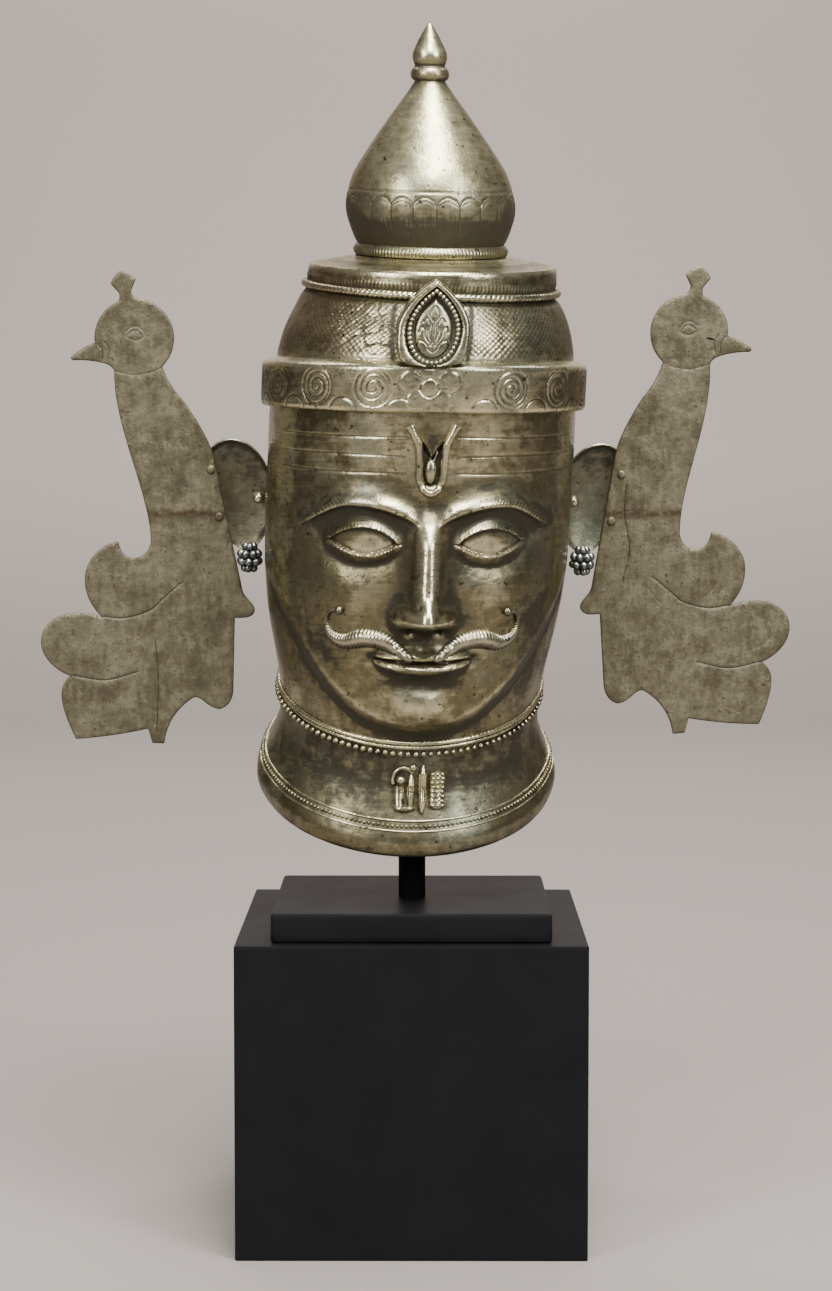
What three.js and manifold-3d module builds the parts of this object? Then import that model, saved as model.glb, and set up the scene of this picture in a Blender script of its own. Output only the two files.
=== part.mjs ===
// A bronze mask: a crowned head with a domed top, a moustache, a necklace and a flared collar, a sheet
// bronze peacock beside each ear, and the black block, step and rod that hold it up.
// Millimetres, +Z up. The front faces -Y. The origin is the middle of the block's underside.
import * as THREE from "three";
import { mergeVertices } from "three/addons/utils/BufferGeometryUtils.js";
import Module from "manifold-3d";

const wasm = await Module();
wasm.setup();

const { degToRad, smoothstep, lerp } = THREE.MathUtils;

// Stand. The step lies on the block, nearer its front edge, and the rod stands in the step.
const BLOCK_SIDE = 202;
const BLOCK_HEIGHT = 182;
const STEP_WIDTH = 161;
const STEP_DEPTH = 145;
const STEP_HEIGHT = 16.5;
const STEP_CENTRE_Y = -20;
const ROD_RADIUS = 8;
const ROD_Y = -28;
const GAP = 0.3;

// The head's own frame: its origin is in the middle of the collar, its z runs up the head.
const HEAD_PLACE = [-3.4, -12, 275];
const HEAD_LEAN = degToRad(8);
const HEAD_ROLL = degToRad(1.3);
const HEAD_YAW = degToRad(4);
// The head also drifts this far to the right for each millimetre up, its levels staying level.
const SIDE_LEAN = 0.0227;

// Head shell, in the head's frame.
const WALL = 4;
const BACK_ANGLE = degToRad(118);
const HEAD_TOP = 236;
const HAIRLINE = 222;
const CHIN = 42;
const THIRD = (HAIRLINE - CHIN) / 3;
const BROW = HAIRLINE - THIRD;
const NOSE_BASE = BROW - THIRD;
const MOUTH = NOSE_BASE - THIRD / 3;
const EYE = BROW - 13;
const FACE_WIDTH = 178;
const EYE_WIDTH = FACE_WIDTH / 5;
const EYE_CENTRE = EYE_WIDTH;
const MOUTH_HALF = 0.78 * EYE_WIDTH;
const NECKLACE_LEVEL = 50;
const NECK_SLOPE = 0.31;
const BAND_SLOPE = -0.08;

// Crown and dome.
const CROWN_DEPTH = 0.985;
const BAND_RADIUS = 94.1;
const BAND_BOTTOM = 215.5;
const BAND_TOP = 241;
const ROOF = 303;
const CROWN_SIDES = 28;
const DOME_SIDES = 16;
const DOME_LEAN = -0.028;
const CAP_LEAN = 0.04;
const RING_RISE = 1.2;
const RING_TILT = 0.024;
const DOME_SHIFT = 7.5;

// Ears and plates.
const EAR = { x: 105, y: 18, z: 160, halfWidth: 20, halfHeight: 33, lean: 0.14, hollow: 6, thickness: 3 };
const PLATE_THICKNESS = 3;
const PLATE_PIVOT = [122, 155];
const PLATE_TURN = degToRad(2.2);
const PLATE_STEP = 2.6;
const RIVETS = { upper: [121.5, 175], lower: [116.5, 147] };
const RIVET_RADIUS = 1.8;
const RIVET_SIDES = 6;

const cast = { color: 0x8f8466, roughness: 0.32, metalness: 1 };
const sheet = { color: 0x8c8368, roughness: 0.5, metalness: 1 };
const black = { color: 0x18181a, roughness: 0.6, metalness: 0 };

const bell = (d, width) => Math.exp(-((d / width) ** 2));

// A closed three.js geometry as a solid for joining and cutting.
function solid(geometry) {
  const bare = new THREE.BufferGeometry().setAttribute("position", geometry.getAttribute("position"));
  bare.setIndex(geometry.index);
  const merged = mergeVertices(bare, 1e-4);
  const corners = Array.from(merged.index.array);
  const kept = [];
  for (let i = 0; i < corners.length; i += 3) {
    const [a, b, c] = corners.slice(i, i + 3);
    if (a !== b && b !== c && c !== a) kept.push(a, b, c);
  }
  const vertProperties = merged.attributes.position.array;
  return new wasm.Manifold(new wasm.Mesh({ numProp: 3, vertProperties, triVerts: new Uint32Array(kept) }));
}

function meshOf(shape, name, finish) {
  const { vertProperties, triVerts } = shape.getMesh();
  const geometry = new THREE.BufferGeometry();
  geometry.setAttribute("position", new THREE.BufferAttribute(new Float32Array(vertProperties), 3));
  geometry.setIndex(new THREE.BufferAttribute(new Uint32Array(triVerts), 1));
  geometry.computeVertexNormals();
  const mesh = new THREE.Mesh(geometry, new THREE.MeshStandardMaterial(finish));
  mesh.name = name;
  return mesh;
}

// Rings of equal count, each anticlockwise seen from the far end, joined into one closed body. The two
// ends are closed by fans, or the last ring is joined to the first.
function loft(rings, endless = false) {
  const count = rings[0].length;
  const points = rings.flat();
  const faces = [];
  const bands = endless ? rings.length : rings.length - 1;
  for (let i = 0; i < bands; i++) {
    const low = i * count;
    const high = ((i + 1) % rings.length) * count;
    for (let j = 0; j < count; j++) {
      const next = (j + 1) % count;
      faces.push(low + j, low + next, high + next, low + j, high + next, high + j);
    }
  }
  if (!endless) {
    const middle = (ring) =>
      ring.reduce((sum, p) => sum.add(p), new THREE.Vector3()).divideScalar(count);
    const last = (rings.length - 1) * count;
    const bottom = points.length;
    points.push(middle(rings[0]), middle(rings.at(-1)));
    for (let j = 0; j < count; j++) {
      const next = (j + 1) % count;
      faces.push(bottom, next, j, bottom + 1, last + j, last + next);
    }
  }
  const geometry = new THREE.BufferGeometry().setFromPoints(points);
  geometry.setIndex(faces);
  return solid(geometry);
}

// The sideways drift of the head and, above the band, of the cap.
function leaned(body) {
  return body.warp((point) => {
    point[0] += SIDE_LEAN * point[2] + CAP_LEAN * Math.max(0, point[2] - BAND_TOP);
  });
}

// A body turned round the z axis from [radius, z] pairs listed from the bottom up.
function turned(profile, sides, depth = 1) {
  const rings = profile.map(([radius, z]) =>
    Array.from({ length: sides }, (_, j) => {
      const angle = (2 * Math.PI * j) / sides;
      return new THREE.Vector3(radius * Math.sin(angle), -depth * radius * Math.cos(angle), z);
    }),
  );
  return loft(rings);
}

// A rod of round or oval section along a path that lies nearly in an upright plane facing -Y. The
// section's half-height is radius(t) and its half-depth is flat times that.
function swept(path, steps, sides, radius, flat = 1) {
  const outward = new THREE.Vector3(0, -1, 0);
  const rings = Array.from({ length: steps + 1 }, (_, i) => {
    const t = i / steps;
    const centre = path.getPoint(t);
    const across = path.getTangent(t).cross(outward).normalize();
    return Array.from({ length: sides }, (_, j) => {
      const angle = (2 * Math.PI * (j + 0.5)) / sides;
      return centre
        .clone()
        .addScaledVector(across, radius(t) * Math.cos(angle))
        .addScaledVector(outward, -flat * radius(t) * Math.sin(angle));
    });
  });
  return loft(path.closed ? rings.slice(1) : rings, path.closed);
}

// An outline in the x, z plane, given thickness from y = front to y = back.
function extruded(outline, front, back, curveSegments = 3) {
  const geometry = new THREE.ExtrudeGeometry(outline, {
    depth: back - front,
    bevelEnabled: false,
    curveSegments,
  });
  geometry.rotateX(Math.PI / 2);
  geometry.translate(0, back, 0);
  return solid(geometry);
}

// Half-width of the head at a level: the collar's lip and flare, the neck, and the sides of the face.
const SIDE_LEVELS = [
  [60, 78.6],
  [75, 81.5],
  [95, 85.6],
  [120, 88.4],
  [150, 89.5],
  [180, 89.3],
  [210, 88.9],
  [HEAD_TOP, 88.3],
];
const COLLAR = [
  [84, -9.5],
  [88, -6.5],
  [89.2, 0],
  [87.6, 6],
  [84, 13],
  [80.4, 20.5],
  [77.4, 29],
  [76.6, 39],
  [77, NECKLACE_LEVEL - 3.4],
  [79.8, NECKLACE_LEVEL - 1.6],
  [79.8, NECKLACE_LEVEL + 1.6],
  [77.4, NECKLACE_LEVEL + 3.4],
];

function headHalfWidth(level) {
  const after = Math.max(1, SIDE_LEVELS.findIndex(([z]) => z >= level));
  const [lowZ, low] = SIDE_LEVELS[after - 1];
  const [highZ, high] = SIDE_LEVELS[after];
  return lerp(low, high, (level - lowZ) / (highZ - lowZ));
}

const depthRatio = (level) => 0.965 + 0.02 * smoothstep(level, 150, HAIRLINE);

// The rings of the neck dip towards the front, those of the face are level, the band's rise towards the
// front, and those of the cap are level again at its top.
function slope(level) {
  const neck = 1 - smoothstep(level, NECKLACE_LEVEL, 110);
  const band = smoothstep(level, 140, BAND_BOTTOM) * (1 - smoothstep(level, BAND_TOP + 4, 281));
  return NECK_SLOPE * neck + BAND_SLOPE * band;
}

// The large forms of the face, as a height above the plain oval of the head.
function largeForms(x, z) {
  const side = Math.abs(x);
  const jawLine = CHIN - 4 + 60 * (side / 76) ** 2.4;
  const throat = -6 * (1 - smoothstep(z, jawLine - 5, jawLine + 7));
  const noseSpan = smoothstep(z, NOSE_BASE - 8, NOSE_BASE + 8) * (1 - smoothstep(z, BROW - 14, BROW + 10));
  const nose = 10 * bell(x, 13) * noseSpan;
  const socket = -6 * bell(side - EYE_CENTRE, 24) * bell(z - EYE, 15);
  const lipMound = 5 * bell(x, 34) * bell(z - MOUTH, 22);
  const chin = 7 * bell(x, 19) * bell(z - CHIN - 11, 13);
  const cheek = 4 * bell(side - 50, 22) * bell(z - 115, 24);
  const browBone = 3 * bell(side - 36, 30) * bell(z - BROW - 6, 10);
  return throat + nose + socket + lipMound + chin + cheek + browBone;
}

function brows(side, z) {
  const line = BROW + 9 * Math.sin((Math.PI * (side - 6)) / 66) - 6 * smoothstep(side, 45, 72);
  const ridge = 3.6 * bell(z - line, 4.4 - 1.8 * smoothstep(side, 30, 70));
  return ridge * smoothstep(side, 4, 13) * (1 - smoothstep(side, 63, 73));
}

function eyes(side, z) {
  const along = (side - EYE_CENTRE) / (EYE_WIDTH / 2);
  const above = z - EYE;
  const width = Math.max(0, 1 - along ** 2);
  const opening = above > 0 ? 8.2 * width ** 0.8 : 6 * width ** 0.9;
  const reach = above > 0 ? 17 : 14;
  const ball = 8.5 * Math.max(0, 1 - (0.8 * along) ** 2 - (above / reach) ** 2) ** 1.25;
  const rim = 2 * bell(Math.abs(above) - opening - 1.2, 1.8) * bell(Math.max(0, Math.abs(along) - 1), 0.16);
  return ball + rim;
}

function nose(x, z) {
  const side = Math.abs(x);
  const down = THREE.MathUtils.clamp((BROW - z) / (BROW - NOSE_BASE - 7), 0, 1);
  const up = z - NOSE_BASE;
  const span = smoothstep(up, -3, 7) * (1 - smoothstep(z, BROW - 10, BROW + 8));
  const ridge = (3 + 13 * down ** 1.2) * Math.exp(-((side / (8 + 3.4 * down)) ** 3)) * span;
  const tip = 5.5 * Math.exp(-(Math.hypot(x / 9, (up - 9) / 8.5) ** 3));
  const wing = 7.5 * Math.exp(-(Math.hypot((side - 12.4) / 6, (up - 6) / 7) ** 3));
  return ridge + tip + wing;
}

function lips(side, z) {
  const share = Math.min(1, side / MOUTH_HALF);
  const above = z - MOUTH - 1.4 * share ** 2;
  const full = Math.sqrt(1 - share ** 2.4);
  const upper = 4.8 * bell(above / (7.4 * full + 0.6) - 0.4, 0.38);
  const lower = 5.8 * bell(-above / (8.6 * full + 0.6) - 0.42, 0.4);
  const parting = -2 * bell(above, 1.2) * smoothstep(MOUTH_HALF + 2 - side, 0, 5);
  const underLip = -2 * bell(side, 18) * bell(above + 14.5, 4.6);
  return (above > 0 ? upper : lower) * full ** 0.8 + parting + underLip;
}

function faceHeight(x, z) {
  const side = Math.abs(x);
  return largeForms(x, z) + brows(side, z) + eyes(side, z) + nose(x, z) + lips(side, z);
}

// One ring of the head. Forms are raised on its front and die away at its sides.
function headRing(level, halfWidth, angles, inset, forms) {
  const halfDepth = halfWidth * depthRatio(level);
  return angles.map((angle) => {
    const x = (halfWidth - inset) * Math.sin(angle);
    const y = -(halfDepth - inset) * Math.cos(angle);
    const z = level + slope(level) * y;
    return new THREE.Vector3(x, y - forms(x, z) * smoothstep(-y, 2, 30), z);
  });
}

// The front surface of the head at x, z.
function faceY(x, z) {
  let y = -80;
  for (let i = 0; i < 8; i++) {
    const level = z - slope(z - 0.2 * y) * y;
    const halfWidth = headHalfWidth(level);
    y = -halfWidth * depthRatio(level) * Math.sqrt(Math.max(0, 1 - (x / halfWidth) ** 2));
  }
  return y - faceHeight(x, z) * smoothstep(-y, 2, 30);
}

const onFace = (x, z, proud) => new THREE.Vector3(x, faceY(x, z) - proud, z);
const along = (from, to, count) => Array.from({ length: count }, (_, i) => lerp(from, to, i / count));
const mirrored = (right) => [...right.slice(1).reverse().map((angle) => -angle), ...right];

// The columns are closest over the features, and so are the levels.
function headOuter(grown = 0) {
  const fine = along(0, 56, 10).map((x) => Math.asin(x / 88));
  const angles = mirrored([...fine, ...along(fine.at(-1), BACK_ANGLE, 7).slice(1), BACK_ANGLE]);
  const levels = [...along(57, 105, 13), ...along(105, 176, 15), ...along(176, HEAD_TOP, 4), HEAD_TOP];
  const rows = [...COLLAR, ...levels.map((level) => [headHalfWidth(level), level])];
  return loft(rows.map(([halfWidth, level]) => headRing(level, halfWidth, angles, -grown, faceHeight)));
}

// The hollow follows the large forms alone, and runs out through the back, the foot and the top.
function headInner() {
  const angles = mirrored([...along(0, BACK_ANGLE, 8), BACK_ANGLE]);
  const behind = 70;
  const levels = [-14, 10, 26, ...along(45, 180, 9), 180, 210, HEAD_TOP + 5];
  const rings = levels.map((level) => {
    const halfWidth = level < 45 ? Math.max(77, 88 - 0.5 * (level + 10)) : headHalfWidth(level);
    const ring = headRing(level, halfWidth, angles, WALL, (x, z) => largeForms(x, z) - WALL + 0.5);
    const corner = ring.at(-1);
    const back = new THREE.Vector3(corner.x, behind, corner.z + slope(level) * (behind - corner.y));
    return [...ring, back, new THREE.Vector3(-back.x, back.y, back.z)];
  });
  return loft(rings);
}

// One wing of the moustache: low beside the middle, up over a hump, down, and up into a curl with a ball.
function moustacheWing(side) {
  const route = [
    [7, 84.5],
    [13, 88.5],
    [22, 93.5],
    [33, 94.5],
    [43, 91.5],
    [50.5, 94],
    [54, 101],
    [52.5, 108],
    [47.5, 109.5],
  ];
  const path = new THREE.CatmullRomCurve3(route.map(([x, z]) => onFace(side * x, z, -0.4)));
  const thickness = (t) => 1.5 + 3.9 * Math.sin(Math.PI * Math.min(1, 0.06 + 1.18 * t)) ** 0.8;
  const [endX, endZ] = route.at(-1);
  const end = onFace(side * endX, endZ, 0.8);
  const ball = new THREE.SphereGeometry(2.7, 7, 5).translate(end.x, end.y, end.z);
  return swept(path, 12, 6, (t) => thickness(t), 0.8).add(solid(ball));
}

// The mark on the forehead: a U of thick wire with splayed tips, round a drop with a fluted cone above.
function foreheadMark() {
  const arm = [
    [-10.8, 214.5],
    [-8.4, 208.5],
    [-7.2, 198],
    [-6.6, 187],
    [0, 178.6],
  ];
  const right = arm.slice(0, -1).map(([x, z]) => [-x, z]).reverse();
  const route = [...arm, ...right].map(([x, z]) => onFace(x, z, 1));
  const wire = swept(new THREE.CatmullRomCurve3(route), 14, 5, () => 1.8);
  const drop = new THREE.SphereGeometry(1, 6, 5).rotateX(Math.PI / 2).scale(3.2, 3, 6.5);
  drop.translate(0, faceY(0, 190) - 0.8, 190);
  const cone = new THREE.CylinderGeometry(2.4, 1.4, 8, 6).rotateX(Math.PI / 2);
  cone.translate(0, faceY(0, 200) - 0.6, 200);
  return wire.add(solid(drop)).add(solid(cone));
}

// The clasp on the throat, under the necklace: a ribbed box, a taller ridge and a hatched bar.
function throatClasp() {
  const z = 10.5;
  const parts = [
    { x: -5, width: 14, height: 24, proud: 4 },
    { x: 5.4, width: 6, height: 26, proud: 5.6 },
    { x: 12.6, width: 9, height: 23, proud: 4 },
  ];
  return parts.map(({ x, width, height, proud }) => {
    const bar = new THREE.CylinderGeometry(0.8, 1, height, 6, 1).scale(width / 2, 1, proud);
    bar.rotateX(Math.PI / 2).rotateX(-0.25);
    bar.translate(x, faceY(x, z) + 0.8, z);
    return solid(bar);
  });
}

function faceMask() {
  const fused = [moustacheWing(-1), moustacheWing(1), foreheadMark(), ...throatClasp()];
  const outer = fused.reduce((sum, piece) => sum.add(piece), headOuter());
  return meshOf(leaned(outer.subtract(headInner())), "face_mask", cast);
}

// Crown: the band, the domed cap, the rope ring, the upright rim and the sloping roof.
const CROWN_OUTER = [
  [91.4, BAND_BOTTOM],
  [93.6, BAND_BOTTOM + 0.7],
  [BAND_RADIUS, BAND_BOTTOM + 2.5],
  [BAND_RADIUS, BAND_TOP - 2],
  [93.3, BAND_TOP],
  [86.6, BAND_TOP + 2.6],
  [85.2, 249.5],
  [82.9, 259.5],
  [79.4, 268.8],
  [75.2, 276.8],
  [72.4, 279.8],
  [74.6, 281.6],
  [74.8, 285.6],
  [71.5, 288.6],
  [71.2, 296.4],
  [70.2, 297.8],
  [47, 302.2],
  [45.5, ROOF],
];
const CROWN_INNER = [
  [89.5, BAND_BOTTOM - 5],
  [89.5, HEAD_TOP + GAP],
  [82.4, HEAD_TOP + GAP],
  [80.4, 252],
  [71.6, 273],
  [66.6, 292.5],
  [43, ROOF - WALL],
];

// The rope ring sits a little askew, higher on the left.
function crownBody(profile, grown = 0) {
  const grownProfile = profile.map(([radius, z]) => [radius + grown, z]);
  return turned(grownProfile, CROWN_SIDES, CROWN_DEPTH).warp((point) => {
    const ring = smoothstep(point[2], 272, 281) * (1 - smoothstep(point[2], 288.5, 293));
    point[2] += slope(point[2]) * point[1] + ring * (RING_RISE - RING_TILT * point[0]);
  });
}

function crown() {
  return meshOf(leaned(crownBody(CROWN_OUTER).subtract(crownBody(CROWN_INNER))), "crown", cast);
}

// Dome: a crimped base ring, the swelling bowl, the concave cone and the finial with its ring.
function dome() {
  const outer = [
    [43.6, ROOF + GAP],
    [44.5, ROOF + 3],
    [42.6, ROOF + 7.4],
    [45.6, 317.5],
    [48.3, 326],
    [48.4, 333.5],
    [46.4, 342.5],
    [42.8, 351.5],
    [35.8, 362.6],
    [28, 374],
    [20, 385],
    [13, 394.4],
    [8.6, 401],
    [10.8, 402.8],
    [10.6, 407],
    [8.6, 409],
    [9.9, 413.4],
    [8.4, 419.4],
    [3.4, 428.8],
    [0.8, 433],
  ];
  const inner = [
    [40.6, ROOF - 2],
    [40.6, 313],
    [44.6, 329],
    [41.6, 344],
    [24, 372],
    [4, 394],
  ];
  const shell = turned(outer, DOME_SIDES).subtract(turned(inner, DOME_SIDES));
  const leaning = shell.warp((point) => {
    point[0] += DOME_SHIFT + DOME_LEAN * (point[2] - ROOF);
  });
  return meshOf(leaning, "dome", cast);
}

// Medallion on the front of the cap: a drop-shaped frame on a deep wall, a beaded ring and a domed plaque.
const MEDALLION = { x: -3.6, z: 270, front: -94.5, halfWidth: 20, rise: 25, foot: 21.5, backward: 0.17 };

function dropCurve(halfWidth, rise, foot, squareness) {
  const curve = new THREE.Shape();
  curve.moveTo(0, rise);
  curve.bezierCurveTo(0.3 * halfWidth, 0.86 * rise, halfWidth, 0.42 * rise, halfWidth, -0.1 * foot);
  curve.bezierCurveTo(halfWidth, -squareness * foot, squareness * halfWidth, -foot, 0, -foot);
  curve.bezierCurveTo(-squareness * halfWidth, -foot, -halfWidth, -squareness * foot, -halfWidth, -0.1 * foot);
  curve.bezierCurveTo(-halfWidth, 0.42 * rise, -0.3 * halfWidth, 0.86 * rise, 0, rise);
  return curve;
}

function medallion() {
  const { x, z, front, halfWidth, rise, foot, backward } = MEDALLION;
  const frame = extruded(dropCurve(halfWidth, rise, foot, 0.9), 0, 26);
  const recess = extruded(dropCurve(0.8 * halfWidth, 0.88 * rise, 0.95 * foot, 0.6), -1, 2.2);
  const ringLine = dropCurve(0.67 * halfWidth, 0.75 * rise, 0.88 * foot, 0.6).getSpacedPoints(16).slice(0, -1);
  const ringPath = new THREE.CatmullRomCurve3(
    ringLine.map((p) => new THREE.Vector3(p.x, 1.4, p.y)),
    true,
  );
  const ring = swept(ringPath, 16, 5, () => 2.2);
  const plaque = new THREE.SphereGeometry(1, 10, 6).rotateX(Math.PI / 2).scale(9.6, 4.2, 15.2);
  plaque.translate(0, 3.2, -1.2);
  const whole = frame.subtract(recess).add(ring).add(solid(plaque));
  const placed = whole.warp((point) => {
    point[0] += x;
    point[1] += front + backward * (point[2] + foot);
    point[2] += z;
  });
  return meshOf(leaned(placed.subtract(crownBody(CROWN_OUTER, 2 * GAP))), "medallion", cast);
}

// A spoon-shaped ear on the right, narrower towards the lobe and hollow in front.
function earBody() {
  const surface = (share, angle, y) => {
    const across = EAR.halfWidth * share * Math.cos(angle) * (1 + 0.16 * Math.sin(angle));
    const hollow = EAR.hollow * (1 - share ** 2);
    const up = EAR.halfHeight * share * Math.sin(angle);
    return new THREE.Vector3(EAR.x + across + EAR.lean * up, y + hollow, EAR.z + up);
  };
  const shares = [0.45, 0.8, 1];
  const turns = along(0, 2 * Math.PI, 16);
  const ringsAt = (y) => shares.map((share) => turns.map((angle) => surface(share, angle, y)));
  return loft([...ringsAt(EAR.y + EAR.thickness), ...ringsAt(EAR.y).reverse()]);
}

// The right peacock's outline, beak to the right: crest, round head, long neck, hooked back, three tail
// feathers, a foot, and the straight inner edge with its knob.
function peacockOutline() {
  const head = { x: 162.5, y: 255.5, radius: 23 };
  const bird = new THREE.Shape();
  bird.moveTo(161.1, 278.4);
  bird.quadraticCurveTo(163.2, 280.5, 163.4, 282.6);
  bird.lineTo(160.4, 289.2);
  bird.quadraticCurveTo(163.5, 293.6, 168.8, 294.4);
  bird.quadraticCurveTo(173.6, 291.5, 174.9, 287);
  bird.lineTo(170.2, 281.6);
  bird.quadraticCurveTo(169.9, 279, 170.6, 277);
  bird.absarc(head.x, head.y, head.radius, degToRad(69), degToRad(-5), true);
  bird.quadraticCurveTo(193.5, 250.4, 199.4, 245.6);
  bird.quadraticCurveTo(200, 243.6, 197.6, 243.4);
  bird.quadraticCurveTo(188, 243.6, 179.9, 241.1);
  bird.quadraticCurveTo(176.2, 239.8, 174.8, 236.7);
  bird.bezierCurveTo(177, 205, 157, 165, 157.3, 136);
  bird.bezierCurveTo(158.6, 128.6, 163.4, 125.9, 168.3, 125.9);
  bird.bezierCurveTo(173, 126.4, 176, 130.6, 176.4, 136.2);
  bird.bezierCurveTo(188, 134.6, 197.5, 124, 197.1, 112.6);
  bird.bezierCurveTo(197, 103, 192.6, 96, 187.7, 90.8);
  bird.bezierCurveTo(195, 93.5, 200, 94, 206.2, 93.5);
  bird.bezierCurveTo(217, 92.5, 224.5, 86, 224.5, 76.5);
  bird.bezierCurveTo(224.5, 68, 217, 59.4, 207.9, 55.9);
  bird.bezierCurveTo(212.5, 52.5, 214, 48, 213.8, 43.4);
  bird.bezierCurveTo(213.5, 35, 210, 26, 206.4, 17.2);
  bird.quadraticCurveTo(184, 18, 163.2, 22.2);
  bird.lineTo(160.9, 13.2);
  bird.lineTo(153.7, 12.7);
  bird.bezierCurveTo(152.4, 24, 146, 34, 135.5, 40.4);
  bird.bezierCurveTo(130, 41.6, 128, 33.6, 119.9, 32.8);
  bird.quadraticCurveTo(112.2, 35, 111.5, 44.7);
  bird.lineTo(109.3, 88.3);
  bird.bezierCurveTo(104, 88, 98.6, 87.6, 97.3, 92.2);
  bird.bezierCurveTo(97.2, 97.4, 104, 99.6, 104.6, 106.5);
  bird.bezierCurveTo(108.6, 130, 113, 152, 118.5, 184.2);
  bird.bezierCurveTo(121, 196, 130, 210, 135, 217.9);
  bird.quadraticCurveTo(144, 228, 146.9, 238.4);
  bird.absarc(head.x, head.y, head.radius, degToRad(227.6), degToRad(93.5), true);
  return bird;
}

// The plate lies against the front of the ear. The right one is turned outward end up and set higher,
// the left one outward end down and set lower.
function peacockBody(side) {
  const back = EAR.y - GAP;
  const flat = extruded(peacockOutline(), back - PLATE_THICKNESS, back);
  const [pivotX, pivotZ] = PLATE_PIVOT;
  const place = new THREE.Matrix4()
    .makeTranslation(pivotX, 0, pivotZ + side * PLATE_STEP)
    .multiply(new THREE.Matrix4().makeRotationY(-side * PLATE_TURN))
    .multiply(new THREE.Matrix4().makeTranslation(-pivotX, 0, -pivotZ));
  return flat.transform(place.elements);
}

// A body turned round an axis along y through x, z, from [radius, y] pairs listed from the back forwards.
function pin(profile, x, z, sides) {
  const upright = turned(profile.map(([radius, y]) => [radius, -y]), sides);
  const place = new THREE.Matrix4()
    .makeTranslation(x, 0, z)
    .multiply(new THREE.Matrix4().makeRotationX(Math.PI / 2));
  return upright.transform(place.elements);
}

const PLATE_FRONT = EAR.y - GAP - PLATE_THICKNESS;
const EAR_BACK = EAR.y + EAR.hollow + 1.4;

function rivetBody([x, z]) {
  const profile = [
    [2.2, EAR_BACK + 1.4],
    [3, EAR_BACK],
    [RIVET_RADIUS, EAR_BACK],
    [RIVET_RADIUS, PLATE_FRONT - GAP],
    [3.2, PLATE_FRONT - GAP],
    [1.8, PLATE_FRONT - 1.8],
  ];
  return pin(profile, x, z, RIVET_SIDES);
}

function rivetHoles() {
  const profile = [
    [RIVET_RADIUS + GAP, EAR_BACK + 5],
    [RIVET_RADIUS + GAP, PLATE_FRONT - 5],
  ];
  return Object.values(RIVETS).map(([x, z]) => pin(profile, x, z, RIVET_SIDES));
}

// The bead between the head and the ear.
function studBody() {
  return solid(new THREE.IcosahedronGeometry(3.5, 0).translate(93.4, 15.2, 158.7));
}

// The earring: rings of small balls round a larger one, on a peg that reaches the lobe.
function earringBody() {
  const centre = new THREE.Vector3(98.4, 5.4, 124.5);
  const ball = 4;
  const rows = [
    { z: 6, radius: 2.6, count: 2 },
    { z: 0.6, radius: 4.9, count: 4 },
    { z: -5.4, radius: 3.6, count: 3 },
  ];
  const balls = rows.flatMap(({ z, radius, count }, row) =>
    along(0, 2 * Math.PI, count).map((turn) => {
      const angle = turn - Math.PI / 2 + 0.5 * row;
      const grain = new THREE.OctahedronGeometry(ball);
      return grain.translate(radius * Math.cos(angle), radius * Math.sin(angle), z);
    }),
  );
  const heart = new THREE.IcosahedronGeometry(5.4, 0);
  const reach = EAR.y - GAP - centre.y;
  const peg = new THREE.CylinderGeometry(1.5, 1.5, reach, 6).translate(0, reach / 2, 0);
  const parts = [heart, peg, ...balls];
  return parts
    .map((geometry) => solid(geometry.translate(centre.x, centre.y, centre.z)))
    .reduce((sum, part) => sum.add(part));
}

function sideParts(side, label) {
  const shift = [SIDE_LEAN * EAR.z, 0, 0];
  const turnOver = (body) => (side > 0 ? body : body.mirror([1, 0, 0])).translate(shift);
  const clearHead = leaned(headOuter(GAP));
  const cutHoles = (body) => rivetHoles().reduce((left, hole) => left.subtract(hole), body);
  return [
    meshOf(turnOver(cutHoles(earBody())).subtract(clearHead), `ear_${label}`, cast),
    meshOf(turnOver(cutHoles(peacockBody(side))), `peacock_${label}`, sheet),
    meshOf(turnOver(studBody()), `ear_stud_${label}`, cast),
    meshOf(turnOver(earringBody()), `earring_${label}`, cast),
    ...Object.entries(RIVETS).map(([name, place]) =>
      meshOf(turnOver(rivetBody(place)), `rivet_${label}_${name}`, cast),
    ),
  ];
}

function headGroup() {
  const group = new THREE.Group();
  group.position.set(...HEAD_PLACE);
  group.rotation.set(HEAD_LEAN, HEAD_ROLL, HEAD_YAW, "XYZ");
  group.add(faceMask(), crown(), dome(), medallion(), ...sideParts(-1, "left"), ...sideParts(1, "right"));
  group.updateMatrixWorld(true);
  return group;
}

// The rod's round top stops just under the crown's roof, where the axis crosses it.
function rod(head) {
  const levelAt = (z) => head.worldToLocal(new THREE.Vector3(0, ROD_Y, z)).z;
  const rise = levelAt(1) - levelAt(0);
  const centre = (ROOF - WALL - GAP - ROD_RADIUS - levelAt(0)) / rise;
  const foot = BLOCK_HEIGHT + STEP_HEIGHT + 2 * GAP;
  const cap = [90, 67.5, 45, 22.5].map((degrees) => {
    const angle = degToRad(degrees);
    return [ROD_RADIUS * Math.sin(angle), centre + ROD_RADIUS * Math.cos(angle)];
  });
  const mesh = meshOf(turned([[ROD_RADIUS, foot], ...cap], 14), "rod", black);
  mesh.position.y = ROD_Y;
  return mesh;
}

function boxMesh(name, width, depth, height, y, bottom) {
  const geometry = new THREE.BoxGeometry(width, depth, height).translate(0, y, bottom + height / 2);
  const mesh = new THREE.Mesh(geometry, new THREE.MeshStandardMaterial(black));
  mesh.name = name;
  return mesh;
}

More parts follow.
